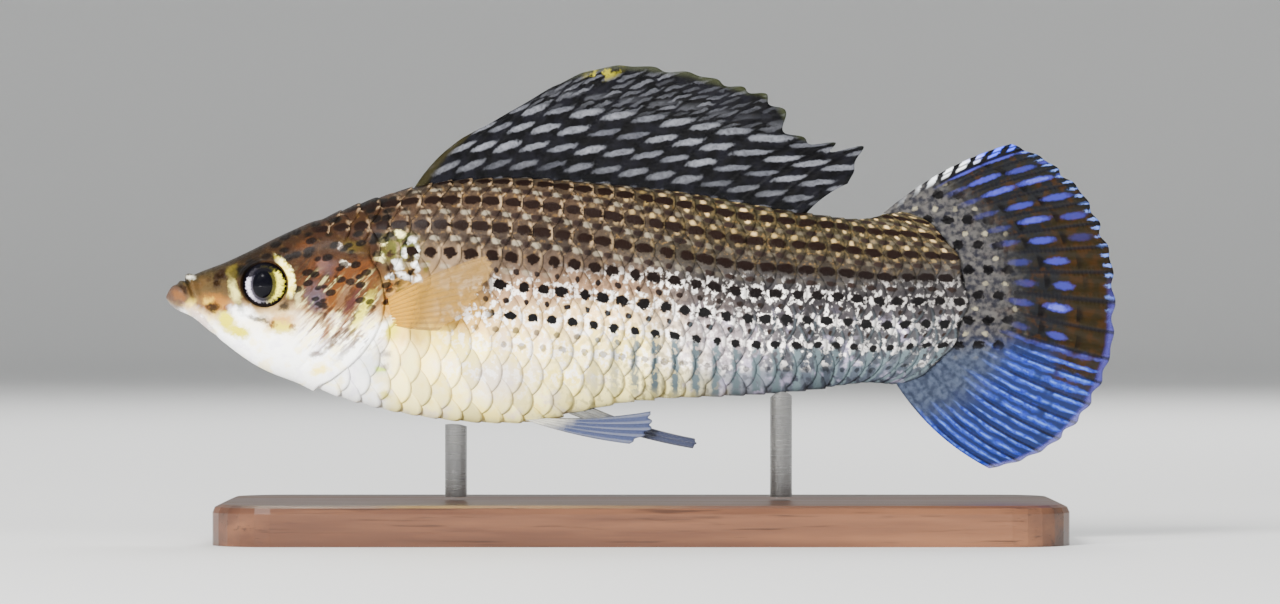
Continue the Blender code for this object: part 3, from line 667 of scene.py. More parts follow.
def ray_ridge(x, along, fin):
    """Height of the rays over the web, from 0 to 1. Each ray forks twice on its way out."""
    centre = np.clip(np.round(x), 0, fin.rays - 1)
    off = x - centre
    inner = ((centre > 0) & (centre < fin.rays - 1)) * float(fin.branches)
    fork = FORK[0] * ease(along, *FORK[1:]) * inner
    twig = TWIG[0] * ease(along, *TWIG[1:]) * inner
    width = between(*RAY_HALF_WIDTH, np.clip(along, 0, 1))
    found = np.zeros(np.broadcast(x, along).shape)
    for first in (-1, 1):
        for second in (-1, 1):
            off_ray = (off - first * fork - second * twig) / width
            found = np.maximum(found, np.sqrt(np.clip(1 - off_ray**2, 0, 1)))
    return found


def fin_lines(fin, x, rows, draw):
    """Share along each line of a fin, and its places in the side view. The lines run outwards."""
    share = (x + RAY_FOOT) * (1 / (fin.rays - 1 + 2 * RAY_FOOT))
    start, end = fin.root(share), fin.tip(share)
    reach = end - start
    length = np.linalg.norm(reach, axis=1)
    bend = np.interp(share, (0, 1), fin.bow)[:, None]
    middle = (start + end) / 2 + np.stack([-reach[:, 1], reach[:, 0]], axis=-1) * bend
    depths = np.array([draw.uniform(*NOTCH_DEPTHS) for _ in range(fin.rays + 1)])
    crest = np.cos(math.pi * np.clip(x, 0, fin.rays - 1)) ** 2
    ragged = between(*fin.ragged, ease(share, 0.45, 0.9))
    short = (ragged * depths[np.floor(x).astype(int) + 1] * (1 - crest) + RIM_MARGIN) / length
    run = np.linspace(0, 1, rows)[None] ** 0.92
    along = between(-fin.embed / length[:, None], (1 - short)[:, None], run)
    t = along[..., None]
    line = start[:, None] * (1 - t) ** 2 + 2 * middle[:, None] * t * (1 - t) + end[:, None] * t**2
    return share, along, line


def add_fin(name, fin, material, slot, per_ray=14, rows=64, seed=0):
    """A fine sheet with rounded, forking rays, a thin web and a scalloped rim."""
    x = np.arange(-RAY_FOOT, fin.rays - 1 + RAY_FOOT + 1e-6, 1 / per_ray)
    x = np.append(x, fin.rays - 1 + RAY_FOOT)
    share, along, line = fin_lines(fin, x, rows, random.Random(SEED + seed))
    held = np.clip(along, 0, 1)
    ridge = ray_ridge(x[:, None], held, fin)
    edge = np.minimum(x + RAY_FOOT, fin.rays - 1 + RAY_FOOT - x)[:, None]
    rounding = np.sqrt(np.clip(1 - (1 - np.clip(edge / SIDE_ROUNDING, 0, 1)) ** 2, 0.02, 1))
    web, ray = between(*fin.web, held**0.6), between(*fin.ray, held**0.8)
    taper = between(1.0, RIM_TAPER, ease(held, 0.93, 1.0))
    half = (web / 2 + ray * ridge) * rounding * taper
    y = fin.out(share[:, None], along)
    sheets = [np.stack([line[..., 0], y + way * half, line[..., 1]], -1) for way in (1, -1)]
    both = np.concatenate([sheet.reshape(-1, 3) for sheet in sheets])
    mesh = make_mesh(name, world(*both.T), [shell_faces(len(x), rows)])
    grown = np.stack([x[:, None] + 0 * along, along, fin.measure(line[..., 0], line[..., 1])], -1)
    add_attribute(mesh, "ray", np.tile(grown.reshape(-1, 3), (2, 1)))
    add_attribute(mesh, "place", both)
    return add_piece(mesh, material, slot, (name,))


def waved(height, waves):
    """A fin that stands on the midplane at its root and sways in soft waves at its rim."""
    return lambda share, along: height * np.sin(2 * math.pi * waves * share) * np.clip(along, 0, 1) ** 2


def dorsal_fin():
    def root(share):
        s = between(*DORSAL_BASE, share)
        return np.stack([s, smooth(BACK, s) + GAP], axis=-1)

    def measure(s, h):
        return h - smooth(BACK, s)

    tip, out = partial(smooth_path, DORSAL_TIPS), waved(DORSAL_WAVE, 1.5)
    web, ray, ragged = (0.50, 0.18), (0.17, 0.07), (0.35, 1.5)
    return Fin(DORSAL_RAYS, root, tip, DORSAL_BOW, out, web, ray, measure, ragged=ragged)


def tail_fin():
    def root(share):
        angle = np.radians(between(*TAIL_ROOT_ANGLES, share))
        radius = TAIL_ROOT_RADIUS + GAP
        s = TAIL_ROOT_CENTRE[0] + radius * np.cos(angle)
        return np.stack([s, TAIL_ROOT_CENTRE[1] + radius * np.sin(angle)], axis=-1)

    def tip(share):
        angle = np.radians(between(*TAIL_TIP_ANGLES, share))
        c, d = np.cos(angle), np.sin(angle)
        reach = FAN_REACH * np.abs(c) ** (2 / FAN_POWER)
        rise = FAN_HALF_SPAN * np.sign(d) * np.abs(d) ** (2 / FAN_POWER)
        return np.stack([FAN_CENTRE[0] + reach, FAN_CENTRE[1] + rise], axis=-1)

    def measure(s, h):
        return np.hypot(s - TAIL_ROOT_CENTRE[0], h - TAIL_ROOT_CENTRE[1]) - TAIL_ROOT_RADIUS

    out, web, ray = waved(TAIL_WAVE, 1.0), (0.62, 0.16), (0.14, 0.07)
    return Fin(TAIL_RAYS, root, tip, TAIL_BOW, out, web, ray, measure, embed=1.3)


def pectoral_fin(side):
    upper, lower = PECTORAL_ROOT

    def root(share):
        return np.stack([between(upper[0], lower[0], share), between(upper[1], lower[1], share)], axis=-1)

    def out(share, along):
        flank = half_width_at(*root(share).T).T
        return side * (flank + between(-0.35, 0.62, ease(along, -0.1, 0.16)) + PECTORAL_LIFT * along)

    def measure(s, h):
        return np.hypot(s - upper[0], h - (upper[1] + lower[1]) / 2)

    tip, web, ray = partial(smooth_path, PECTORAL_TIPS), (0.75, 0.10), (0.16, 0.05)
    return Fin(PECTORAL_RAYS, root, tip, PECTORAL_BOW, out, web, ray, measure)


def belly_fin(rays, root_s, root_y, tips, out, web, ray, **others):
    """A fin that roots in the belly at a distance root_y from the midplane."""
    def root(share):
        s = between(*root_s, share)
        return np.stack([s, belly_at(s, root_y) - GAP], axis=-1)

    def measure(s, h):
        return s - root_s[0]

    return Fin(rays, root, partial(smooth_path, tips), PELVIC_BOW, out, web, ray, measure, **others)


def pelvic_fin(side):
    def out(share, along):
        return side * between(*PELVIC_Y, along) + 0 * share

    web, ray = (0.40, 0.10), (0.13, 0.06)
    return belly_fin(PELVIC_RAYS, PELVIC_ROOT_S, PELVIC_Y[0], PELVIC_TIPS, out, web, ray, embed=1.2)


def gonopodium():
    out, web, ray = waved(0.0, 0.0), (0.55, 0.25), (0.2, 0.14)
    others = {"branches": False, "ragged": (0.1, 0.1)}
    return belly_fin(GONOPODIUM_RAYS, GONOPODIUM_ROOT_S, 0.0, GONOPODIUM_TIPS, out, web, ray, **others)


# Materials
TURN_STEP = 15.0


class Value:
    """A value in a material's nodes, with arithmetic that adds nodes."""

    def __init__(self, graph, socket):
        self.graph, self.socket = graph, socket

    def __add__(self, other):
        return self.graph.math("ADD", self, other)

    def __sub__(self, other):
        return self.graph.math("SUBTRACT", self, other)

    def __rsub__(self, other):
        return self.graph.math("SUBTRACT", other, self)

    def __mul__(self, other):
        return self.graph.math("MULTIPLY", self, other)

    def __truediv__(self, other):
        return self.graph.math("DIVIDE", self, other)

    def __abs__(self):
        return self.graph.math("ABSOLUTE", self)

    def __round__(self):
        return self.graph.math("ROUND", self)

    def __floor__(self):
        return self.graph.math("FLOOR", self)


class Graph:
    """Short calls that build one material's nodes."""

    def __init__(self, name, **sockets):
        self.material = bpy.data.materials.new(name)
        self.material.use_nodes = True
        self.tree = self.material.node_tree
        self.turns = {}
        self.finish(**sockets)

    def feed(self, socket, value):
        if isinstance(value, Value):
            self.tree.links.new(value.socket, socket)
        elif socket.type == "RGBA":
            socket.default_value = (*tint(*value), 1.0)
        else:
            socket.default_value = value

    def finish(self, **sockets):
        """Joins values to the shader and returns the material."""
        shader = self.tree.nodes["Principled BSDF"]
        for socket, value in sockets.items():
            self.feed(shader.inputs[socket.replace("_", " ")], value)
        return self.material

    def node(self, kind, inputs, output=0, **settings):
        made = self.tree.nodes.new("ShaderNode" + kind)
        for setting, value in settings.items():
            setattr(made, setting, value)
        for key, value in inputs.items():
            self.feed(made.inputs[key], value)
        return Value(self, made.outputs[output])

    def math(self, operation, *values):
        return self.node("Math", dict(enumerate(values)), operation=operation)

    def attribute(self, name):
        """The three numbers of a point's attribute, and the vector itself."""
        vector = self.node("Attribute", {}, 1, attribute_name=name)
        parts = [self.node("SeparateXYZ", {0: vector}, k) for k in range(3)]
        return (*parts, vector)

    def join(self, x, y, z=0.0):
        return self.node("CombineXYZ", {0: x, 1: y, 2: z})

    def step(self, x, low, high):
        """0 at low and 1 at high, smooth between them. low may be the larger."""
        return self.node("MapRange", {0: x, 1: low, 2: high}, interpolation_type="SMOOTHSTEP")

    def lerp(self, x, low, high, first, last):
        """first at low, last at high and evenly between them."""
        return self.node("MapRange", {0: x, 1: low, 2: high, 3: first, 4: last})

    def spread(self, share, first, last):
        """first at 0, last at 1 and evenly between them."""
        return self.lerp(share, 0.0, 1.0, first, last)

    def mix(self, share, a, b):
        return self.node("Mix", {0: share, 6: a, 7: b}, 2, data_type="RGBA")

    def ramp(self, x, *stops):
        """Colours read along a value, from (place, red, green, blue) stops."""
        made = self.tree.nodes.new("ShaderNodeValToRGB")
        self.feed(made.inputs[0], x)
        band = made.color_ramp
        while len(band.elements) < len(stops):
            band.elements.new(1.0)
        for element, (place, *colour) in zip(band.elements, stops):
            element.position = place
            element.color = (*tint(*colour), 1.0)
        return Value(self, made.outputs[0])

    def noise(self, at, scale, detail=2.0, rough=0.5, output=0):
        inputs = {"Vector": at, "Scale": scale, "Detail": detail, "Roughness": rough}
        return self.node("TexNoise", inputs, output)

    def chance(self, x, y, z=0.0):
        """A random number from 0 to 1 for each cell."""
        return self.node("TexWhiteNoise", {0: self.join(x, y, z)})

    def brighten(self, colour, gain):
        """A colour made lighter or darker without a shift in its hue."""
        return self.node("HueSaturation", {"Value": gain, "Color": colour})

    def length(self, x, y):
        return self.math("SQRT", self.math("ADD", x * x, y * y))

    def turned(self, at, turn):
        """The side view turned about its origin. The nodes of each turn are made once."""
        key = (at.socket.node.name, turn)
        if key not in self.turns:
            across, up = math.cos(turn), math.sin(turn)
            x = self.node("VectorMath", {0: at, 1: (across, up, 0.0)}, 1, operation="DOT_PRODUCT")
            y = self.node("VectorMath", {0: at, 1: (-up, across, 0.0)}, 1, operation="DOT_PRODUCT")
            self.turns[key] = self.join(x, y)
        return self.turns[key]

    def spot(self, at, centre, radii, turn=0.0, soft=0.3):
        """A soft-edged oval in the side view: 1 inside it and 0 outside."""
        turn = math.radians(TURN_STEP * round(turn / TURN_STEP))
        x = math.cos(turn) * centre[0] + math.sin(turn) * centre[1]
        y = math.cos(turn) * centre[1] - math.sin(turn) * centre[0]
        place = {0: self.turned(at, turn), 1: (1 / radii[0], 1 / radii[1], 0.0)}
        place[2] = (-x / radii[0], -y / radii[1], 0.0)
        local = self.node("VectorMath", place, operation="MULTIPLY_ADD")
        off = self.node("VectorMath", {0: local}, 1, operation="LENGTH")
        return self.step(off, 1 + soft, 1 - soft)

    def point(self, vector):
        """The same vector, from one node that many textures and spots can share."""
        return self.node("Mapping", {0: vector})

    def stretch(self, at, x, y, z):
        return self.node("VectorMath", {0: at, 1: (x, y, z)}, operation="MULTIPLY")

    def relief(self, height, depth):
        """A bump of a height from 0 to 1, over a depth in millimetres."""
        return self.node("Bump", {"Strength": 1.0, "Distance": depth * MM, "Height": height})


# Display colours from 0 to 255, which are made linear when they enter a node
BROWN, DARK_BROWN, BLACK = (66, 44, 18), (22, 11, 4), (3, 2, 3)
WHITE, CREAM, LEMON = (254, 254, 250), (252, 240, 160), (190, 178, 0)
ORANGE, GOLD, YELLOW, RUST = (96, 52, 6), (160, 112, 10), (250, 222, 70), (84, 44, 12)
MAUVE, PURPLE, LILAC = (70, 55, 60), (60, 26, 34), (196, 184, 214)
OLIVE, GREEN, GREY_BLUE = (80, 70, 20), (168, 196, 20), (84, 96, 112)

# Marks on the head and breast: colour, s, h, two radii, turn in degrees, softness, strength
HEAD_MARKS = (
    ((66, 48, 38), 1.0, -0.1, 1.3, 1.3, 0, 0.35, 0.9),
    ((92, 58, 30), 1.5, 0.15, 0.75, 0.42, -25, 0.5, 0.8),
    # Next: a painted highlight on the tip of the upper lip.
    ((210, 206, 186), 2.5, 2.0, 0.4, 0.3, 20, 0.7, 0.8),
    (BROWN, 3.3, 1.2, 1.2, 0.5, 30, 0.7, 0.5),
    # Next: painted shade, a dark line in the mouth's gape between the jaws.
    (DARK_BROWN, 1.9, 0.9, 0.6, 0.22, -50, 0.5, 0.85),
    ((150, 116, 100), 3.5, -2.1, 1.9, 0.4, -42, 0.5, 0.7),
    ((124, 76, 18), 5.4, -0.7, 1.6, 0.85, -8, 0.7, 0.8),
    ((200, 170, 50), 4.4, -0.4, 0.5, 0.35, 0, 0.8, 0.5),
    (DARK_BROWN, 4.9, -1.0, 0.6, 0.45, 0, 0.5, 0.95),
    (RUST, 6.55, -1.1, 0.75, 0.38, 10, 0.5, 0.95),
    # Next two: painted shade in the two nostril pits.
    (DARK_BROWN, 5.6, 2.3, 0.5, 0.65, -20, 0.5, 0.9),
    (DARK_BROWN, 5.2, 1.45, 0.4, 0.45, 0, 0.5, 0.85),
    (OLIVE, 7.0, 2.6, 0.7, 0.5, 30, 0.6, 0.7),
    (LEMON, 6.3, -2.35, 0.9, 0.8, -50, 0.5, 1.0),
    (LEMON, 7.5, -3.4, 1.2, 0.6, -12, 0.5, 1.0),
    (WHITE, 7.9, -1.6, 1.2, 0.7, -20, 0.6, 0.9),
    ((206, 196, 110), 7.15, 0.4, 0.36, 1.2, 10, 0.8, 0.7),
    (GREY_BLUE, 10.2, -2.1, 1.2, 0.3, -12, 0.7, 0.6),
    (GOLD, 11.8, -2.5, 1.6, 0.9, 0, 0.6, 0.85),
    (LEMON, 11.9, -3.0, 1.1, 0.55, 0, 0.6, 0.8),
    (RUST, 10.95, -2.75, 0.3, 0.28, 0, 0.5, 0.85),
    (RUST, 12.9, -2.85, 0.36, 0.34, 0, 0.5, 0.85),
    (CREAM, 13.5, 0.0, 0.3, 0.8, -12, 0.7, 0.35),
    (BLACK, 8.2, 2.9, 1.5, 0.55, 30, 0.6, 0.95),
    (BLACK, 12.1, -0.9, 0.6, 0.45, 30, 0.6, 0.9),
    (BLACK, 9.7, -2.25, 1.3, 0.25, -15, 0.6, 0.8),
    (BLACK, 7.6, -0.9, 0.4, 0.8, 30, 0.6, 0.7),
    (MAUVE, 15.3, 0.2, 0.9, 1.4, 20, 0.8, 0.85),
    ((62, 62, 76), 15.3, -0.4, 0.7, 1.1, 15, 0.9, 0.6),
    (DARK_BROWN, 12.6, 4.9, 0.5, 0.45, 0, 0.6, 0.85),
    (RUST, 14.2, 5.3, 0.9, 0.45, 30, 0.7, 0.4),
    (DARK_BROWN, 13.9, 3.0, 0.4, 0.6, 30, 0.6, 0.75),
    (DARK_BROWN, 15.6, 6.3, 0.8, 0.36, 35, 0.6, 0.9),
    (DARK_BROWN, 16.4, 4.2, 0.8, 0.34, -8, 0.6, 0.8),
    (BLACK, 18.6, 6.1, 1.1, 0.42, -8, 0.5, 0.9),
    (OLIVE, 18.9, 5.0, 1.2, 0.6, -20, 0.7, 0.4),
    (BLACK, 21.1, 6.35, 0.5, 0.36, -20, 0.5, 0.9),
    (BLACK, 21.15, 4.95, 0.42, 0.46, 0, 0.5, 0.9),
    (BLACK, 18.9, 4.0, 0.7, 0.32, -35, 0.5, 0.85),
    ((226, 206, 190), 17.6, 5.0, 0.3, 0.26, 0, 0.7, 0.85),
    ((232, 218, 196), 18.1, 3.4, 0.42, 0.22, -30, 0.7, 0.9),
    ((120, 78, 64), 15.9, 3.2, 0.4, 0.7, 0, 0.9, 0.5),
    (DARK_BROWN, 17.2, 2.6, 1.3, 0.3, 15, 0.7, 0.8),
    (DARK_BROWN, 15.0, 2.2, 0.35, 0.9, -20, 0.7, 0.7),
    (MAUVE, 16.6, 3.0, 0.9, 0.7, 0, 0.8, 0.6),
    (RUST, 18.2, 2.5, 1.1, 0.55, -20, 0.6, 0.85),
    (RUST, 20.0, 3.0, 0.9, 0.4, 20, 0.7, 0.7),
    (ORANGE, 20.3, 1.9, 0.5, 0.9, 10, 0.8, 0.6),
    (ORANGE, 17.3, 0.0, 0.7, 1.6, -28, 0.7, 0.95),
    (RUST, 16.8, 0.4, 0.25, 1.3, -28, 0.6, 0.8),
    ((120, 96, 70), 18.3, 0.6, 0.3, 1.5, -32, 0.7, 0.6),
    (PURPLE, 18.75, -0.6, 0.35, 1.7, -32, 0.6, 0.9),
    ((206, 196, 60), 19.9, -1.4, 0.45, 2.0, -30, 0.6, 0.9),
    (DARK_BROWN, 19.0, -1.9, 0.22, 0.9, -35, 0.6, 0.8),
    (RUST, 17.9, -2.6, 0.22, 1.3, -35, 0.6, 0.7),
    (ORANGE, 16.4, -3.4, 0.4, 1.5, -32, 0.7, 0.75),
    (BROWN, 17.0, -4.4, 0.3, 1.5, -48, 0.7, 0.85),
    (MAUVE, 18.3, -5.2, 0.35, 1.6, -45, 0.7, 0.6),
    (BROWN, 15.3, -5.6, 0.65, 0.32, 10, 0.6, 0.8),
    (YELLOW, 15.6, -7.3, 1.0, 0.35, 15, 0.7, 0.8),
    (WHITE, 20.2, -4.6, 0.55, 3.2, -38, 0.5, 1.0),
)
FLANK_MARKS = (
    ((166, 122, 18), 27.5, -0.8, 5.0, 3.0, -12, 0.6, 0.9),
    ((100, 82, 62), 29.4, 2.8, 4.6, 1.9, -12, 0.7, 0.8),
    (GOLD, 23.4, -1.4, 1.5, 1.5, 20, 0.7, 0.9),
    (YELLOW, 28.0, -4.4, 5.0, 1.2, -8, 0.8, 0.6),
    (MAUVE, 24.3, -1.4, 0.35, 1.0, 40, 0.7, 0.45),
    (GREEN, 23.6, 4.8, 1.5, 1.4, 0, 0.9, 0.12),
    (CREAM, 23.6, 6.3, 0.5, 0.4, 0, 0.6, 0.9),
    (CREAM, 21.9, 5.5, 0.3, 0.4, 0, 0.6, 0.8),
    (WHITE, 24.8, 5.7, 0.35, 0.3, 0, 0.7, 0.8),
    (CREAM, 21.6, 4.0, 0.45, 0.4, 0, 0.6, 0.85),
    (WHITE, 25.3, 4.6, 0.3, 0.5, 0, 0.7, 0.9),
    (WHITE, 24.0, 4.5, 0.3, 0.4, 0, 0.7, 0.8),
    (WHITE, 23.4, 3.3, 0.45, 0.4, 0, 0.7, 0.9),
    (WHITE, 25.2, 3.1, 0.3, 0.5, 15, 0.7, 0.9),
    (WHITE, 24.1, 2.1, 0.7, 0.35, -30, 0.6, 0.9),
    (WHITE, 25.4, 1.9, 0.35, 0.35, 0, 0.6, 0.9),
    (WHITE, 22.6, 2.2, 0.3, 0.3, 0, 0.6, 0.8),
    (BLACK, 22.8, 5.9, 0.4, 0.35, 0, 0.5, 0.95),
    (BLACK, 24.1, 5.5, 0.35, 0.3, 0, 0.5, 0.95),
    (BLACK, 22.7, 4.4, 0.35, 0.35, 0, 0.5, 0.95),
    (BLACK, 24.6, 3.9, 0.3, 0.5, -15, 0.5, 0.95),
    (BLACK, 22.6, 3.0, 0.36, 0.34, 0, 0.5, 0.95),
    (BLACK, 24.7, 2.5, 0.3, 0.3, 0, 0.5, 0.95),
    (BLACK, 23.4, 1.4, 0.35, 0.3, 0, 0.5, 0.9),
    (OLIVE, 26.2, 3.1, 0.25, 0.6, -20, 0.5, 0.9),
    (OLIVE, 23.8, 0.6, 0.5, 0.4, 0, 0.5, 0.85),
    (RUST, 22.5, 1.0, 0.28, 0.65, -38, 0.45, 0.95),
    (RUST, 22.2, -0.3, 0.28, 0.6, -32, 0.45, 0.95),
    (LEMON, 22.7, -3.2, 0.8, 1.0, 0, 0.7, 0.9),
    (GOLD, 24.6, -3.9, 1.3, 0.8, 0, 0.8, 0.6),
    (PURPLE, 22.2, -5.6, 0.4, 0.5, 30, 0.6, 0.7),
    (GREY_BLUE, 21.3, -6.6, 1.7, 1.6, 0, 0.8, 0.45),
    (PURPLE, 22.0, -6.9, 0.35, 0.4, 30, 0.6, 0.6),
    (GREEN, 21.6, -7.2, 0.5, 0.35, 0, 0.6, 0.8),
    (LEMON, 21.9, -9.8, 0.5, 0.4, 0, 0.6, 0.7),
    (CREAM, 24.6, -6.6, 0.5, 2.2, 0, 0.8, 0.6),
    (CREAM, 30.6, -5.4, 1.6, 1.3, 0, 0.8, 0.5),
    (LILAC, 33.5, -8.2, 2.4, 1.8, 0, 0.8, 0.5),
    (YELLOW, 46.5, -4.4, 2.4, 1.3, 0, 0.8, 0.35),
)

# Colours from back (0) to belly (1): the head, the snout, and the trunk's front, middle and rear
GROUND_RAMPS = (
    (
        (0.0, 20, 15, 8), (0.18, 23, 16, 7), (0.30, 32, 21, 10), (0.40, 46, 31, 16),
        (0.47, 72, 54, 34), (0.53, 150, 124, 84), (0.60, 248, 234, 204), (0.70, *WHITE),
    ),
    (
        (0.0, 26, 21, 11), (0.26, 43, 35, 19), (0.48, 64, 50, 28), (0.60, 90, 70, 42),
        (0.68, 190, 164, 122), (0.78, *WHITE),
    ),
    (
        (0.0, 46, 40, 31), (0.14, 48, 36, 26), (0.30, 41, 34, 28), (0.39, 64, 51, 41),
        (0.48, 142, 110, 82), (0.57, 232, 196, 138), (0.70, 250, 228, 152), (1.0, 254, 242, 160),
    ),
    (
        (0.0, 47, 42, 32), (0.16, 46, 37, 27), (0.32, 42, 38, 31), (0.42, 54, 49, 45),
        (0.54, 90, 80, 76), (0.72, 200, 184, 186), (0.84, 120, 122, 130), (1.0, 104, 108, 116),
    ),
    (
        (0.0, 44, 41, 28), (0.16, 43, 38, 25), (0.28, 37, 32, 24), (0.42, 42, 40, 40),
        (0.56, 50, 47, 48), (0.72, 58, 58, 60), (0.86, 58, 64, 72), (1.0, 50, 55, 64),
    ),
)
ROW_HEIGHT = 2.8
TAIL_ROW_HEIGHT = 2.5
TAIL_ROW_START = 0.25


def paint(g, colour, at, marks):
    """Soft ovals of colour laid over a colour in turn."""
    for ink, s, h, radius_s, radius_h, turn, soft, strength in marks:
        colour = g.mix(g.spot(at, (s, h), (radius_s, radius_h), turn, soft) * strength, colour, ink)
    return colour


def cell(g, column, row):
    """The nearest spot of the lattice: its row, a random number, and the way to it in mm."""
    nearest_row = round(row)
    shifted = column - g.math("PINGPONG", nearest_row, 1.0) * 0.5
    nearest = round(shifted)
    dice = g.chance(nearest, nearest_row)
    return nearest_row, dice, (shifted - nearest) * PITCH, (row - nearest_row) * ROW_HEIGHT


def flesh_graph(name):
    """A flesh material's graph, with its place on the fish and in the lattice of scales."""
    g = Graph(name, Coat_Roughness=0.2, Coat_Weight=0.08, IOR=1.45, Specular_IOR_Level=0.2)
    g.s, girth, g.h, g.place = g.attribute("place")
    g.column, g.row, _, _ = g.attribute("lattice")
    g.side = g.point(g.join(g.s, g.h))
    drift = g.noise(g.side, 1.3, 5.0, 0.65, output=1)
    drift = g.node("VectorMath", {0: drift, 1: (0.5, 0.5, 0.5)}, operation="SUBTRACT")
    g.wobbled = g.node("VectorMath", {0: drift, 1: (1.5, 1.5, 0.0), 2: g.side}, operation="MULTIPLY_ADD")
    g.down = girth + (g.noise(g.side, 0.5) - 0.5) * 0.08
    return g


def ground_colour(g):
    """Colours from back to belly, which change from the snout to the tail stalk."""
    head, snout, front, middle, rear = (g.ramp(g.down, *stops) for stops in GROUND_RAMPS)
    slant = g.s - g.row * 1.2 + (g.noise(g.side, 0.6) - 0.5) * 6.0
    colour = g.mix(g.step(slant, 38.0, 49.0), front, middle)
    colour = g.mix(g.step(slant, 46.0, 57.0), colour, rear)
    colour = g.mix(g.step(g.s + (g.noise(g.side, 0.8) - 0.5) * 1.5, 23.2, 20.6), colour, head)
    return g.mix(g.step(g.s, 8.0, 5.0), colour, snout)


def add_mottles(g, colour):
    """Mottles on the back, dark specks on the flank, and yellow and lilac patches on the belly."""
    g.mottle = g.noise(g.side, 1.9, 4.0, 0.6)
    back = g.step(g.down, 0.44, 0.30)
    colour = g.mix(g.step(g.mottle, 0.50, 0.64) * back * 0.6, colour, DARK_BROWN)
    light = g.step(g.mottle, 0.46, 0.34) * back * g.lerp(g.s, 14.0, 24.0, 0.1, 0.5)
    colour = g.mix(light, colour, (104, 78, 40))
    g.specks = g.noise(g.stretch(g.side, 1.0, 0.8, 1.0), 1.6, 2.0, 0.5)
    flank = g.step(g.down, 0.30, 0.44) * g.step(g.s, 30.0, 50.0)
    colour = g.mix(g.step(g.specks, 0.50, 0.36) * flank * 0.5, colour, (22, 20, 24))
    patches = g.noise(g.side, 0.55, 3.0)
    belly = g.step(g.down, 0.5, 0.66)
    colour = g.mix(g.step(patches, 0.52, 0.66) * belly * g.step(g.s, 50.0, 40.0) * 0.4, colour, YELLOW)
    return g.mix(g.step(patches, 0.46, 0.32) * belly * 0.35, colour, LILAC)


def add_pearl_and_painted_highlight(g, colour, dice):
    """Pearly white in bands that run along the flank, through the rows of spots: the scales' own pearly
    white, partly a painted highlight.
    """
    band = g.specks - abs(g.off_row - 0.05) * 0.13
    pearl_and_highlight = g.step(band, 0.40, 0.50) * g.step(g.mottle, 0.38, 0.48)
    pearl_and_highlight = pearl_and_highlight * g.step(g.down, 0.37, 0.48) * g.step(g.down, 0.86, 0.76)
    pearl_and_highlight = pearl_and_highlight * g.step(g.s, 25.0, 32.0) * g.lerp(g.s, 66.0, 76.0, 1.0, 0.4)
    # Near-white laid over the flank: the scales' pearly white, partly a painted highlight.
    return g.mix(pearl_and_highlight * g.spread(dice, 0.55, 1.0), colour, (254, 247, 240))


def add_dots(g, colour, nearest_row, dice, dx):
    """Small dark, cream and pale dots between the rows of spots, and grey strokes under them."""
    row, chance, dot_dx, dot_dy = cell(g, g.column - 0.2, g.row - 0.5)
    reach = g.lerp(row, 1.5, 3.0, 0.60, 0.30) * g.spread(chance, 0.7, 1.2)
    small = g.step(g.length(dot_dx / reach, dot_dy / 0.29) + g.uneven, 1.25, 0.8)
    small = small * g.step(row, 6.4, 4.4) * g.step(g.s, 26.0, 34.0)
    topmost = g.step(nearest_row, 1.6, 1.4) * g.step(g.s, 40.0, 50.0)
    cream = g.step(g.length(dx + 0.25, g.off_row + 0.78) / 0.34 + g.uneven, 1.35, 0.30) * topmost
    lower_cream = g.step(g.length(dot_dx + 0.25, dot_dy + 0.74) / 0.28 + g.uneven, 1.35, 0.30)
    lower_cream = lower_cream * g.step(row, 1.1, 0.9) * g.step(g.s, 40.0, 50.0)
    cream = g.math("MAXIMUM", cream, lower_cream)
    colour = g.mix(cream * 0.9, colour, g.mix(dice, (120, 100, 58), (190, 160, 112)))
    pale = g.step(g.length((abs(dot_dx) - 1.0) / 0.55, dot_dy / 0.30) + g.uneven, 1.25, 0.55)
    pale = pale * g.step(g.down, 0.46, 0.36) * g.step(g.s, 21.0, 26.0)
    colour = g.mix(pale * g.lerp(g.s, 44.0, 56.0, 0.55, 0.15), colour, (128, 119, 101))
    colour = g.mix(small, colour, (26, 18, 15))
    column_off = abs(g.math("FRACT", g.column) - 0.5) * PITCH
    strokes = g.step(column_off + g.uneven * 0.5, 0.60, 0.20)
    strokes = strokes * g.step(g.row, 4.7, 5.3) * g.step(g.row, 8.2, 7.0)
    strokes = strokes * g.step(g.s, 38.0, 49.0) * g.step(g.specks, 0.36, 0.48)
    return g.mix(strokes, colour, (76, 88, 92))


def add_rows(g, colour):
    """Rows of dark spots, one on each scale, with pearly white, partly a painted highlight, and dots between
    them.
    """
    nearest_row, dice, dx, g.off_row = cell(g, g.column, g.row)
    g.uneven = (g.mottle - 0.5) * 1.7
    upper = g.step(nearest_row, 3.4, 1.6)
    colour = add_pearl_and_painted_highlight(g, colour, dice)
    reach = g.spread(upper, 0.58, 0.88) * g.spread(dice, 0.85, 1.2)
    smaller = g.lerp(nearest_row, 4.0, 6.0, 1.0, 0.6)
    height = g.spread(upper, 0.54, 0.50)
    near = g.length((dx + (dice - 0.5) * 0.4) / reach, (g.off_row + g.uneven * 0.2) / height) / smaller
    begins = g.lerp(nearest_row, 2.0, 4.0, 15.0, 32.6)
    shown = g.step(g.s - begins, -1.4, 0.4) * g.step(nearest_row, 7.2, 5.3)
    g.dark = g.step(near + g.uneven, 1.20, 0.86) * shown
    return add_dots(g, colour, nearest_row, dice, dx)


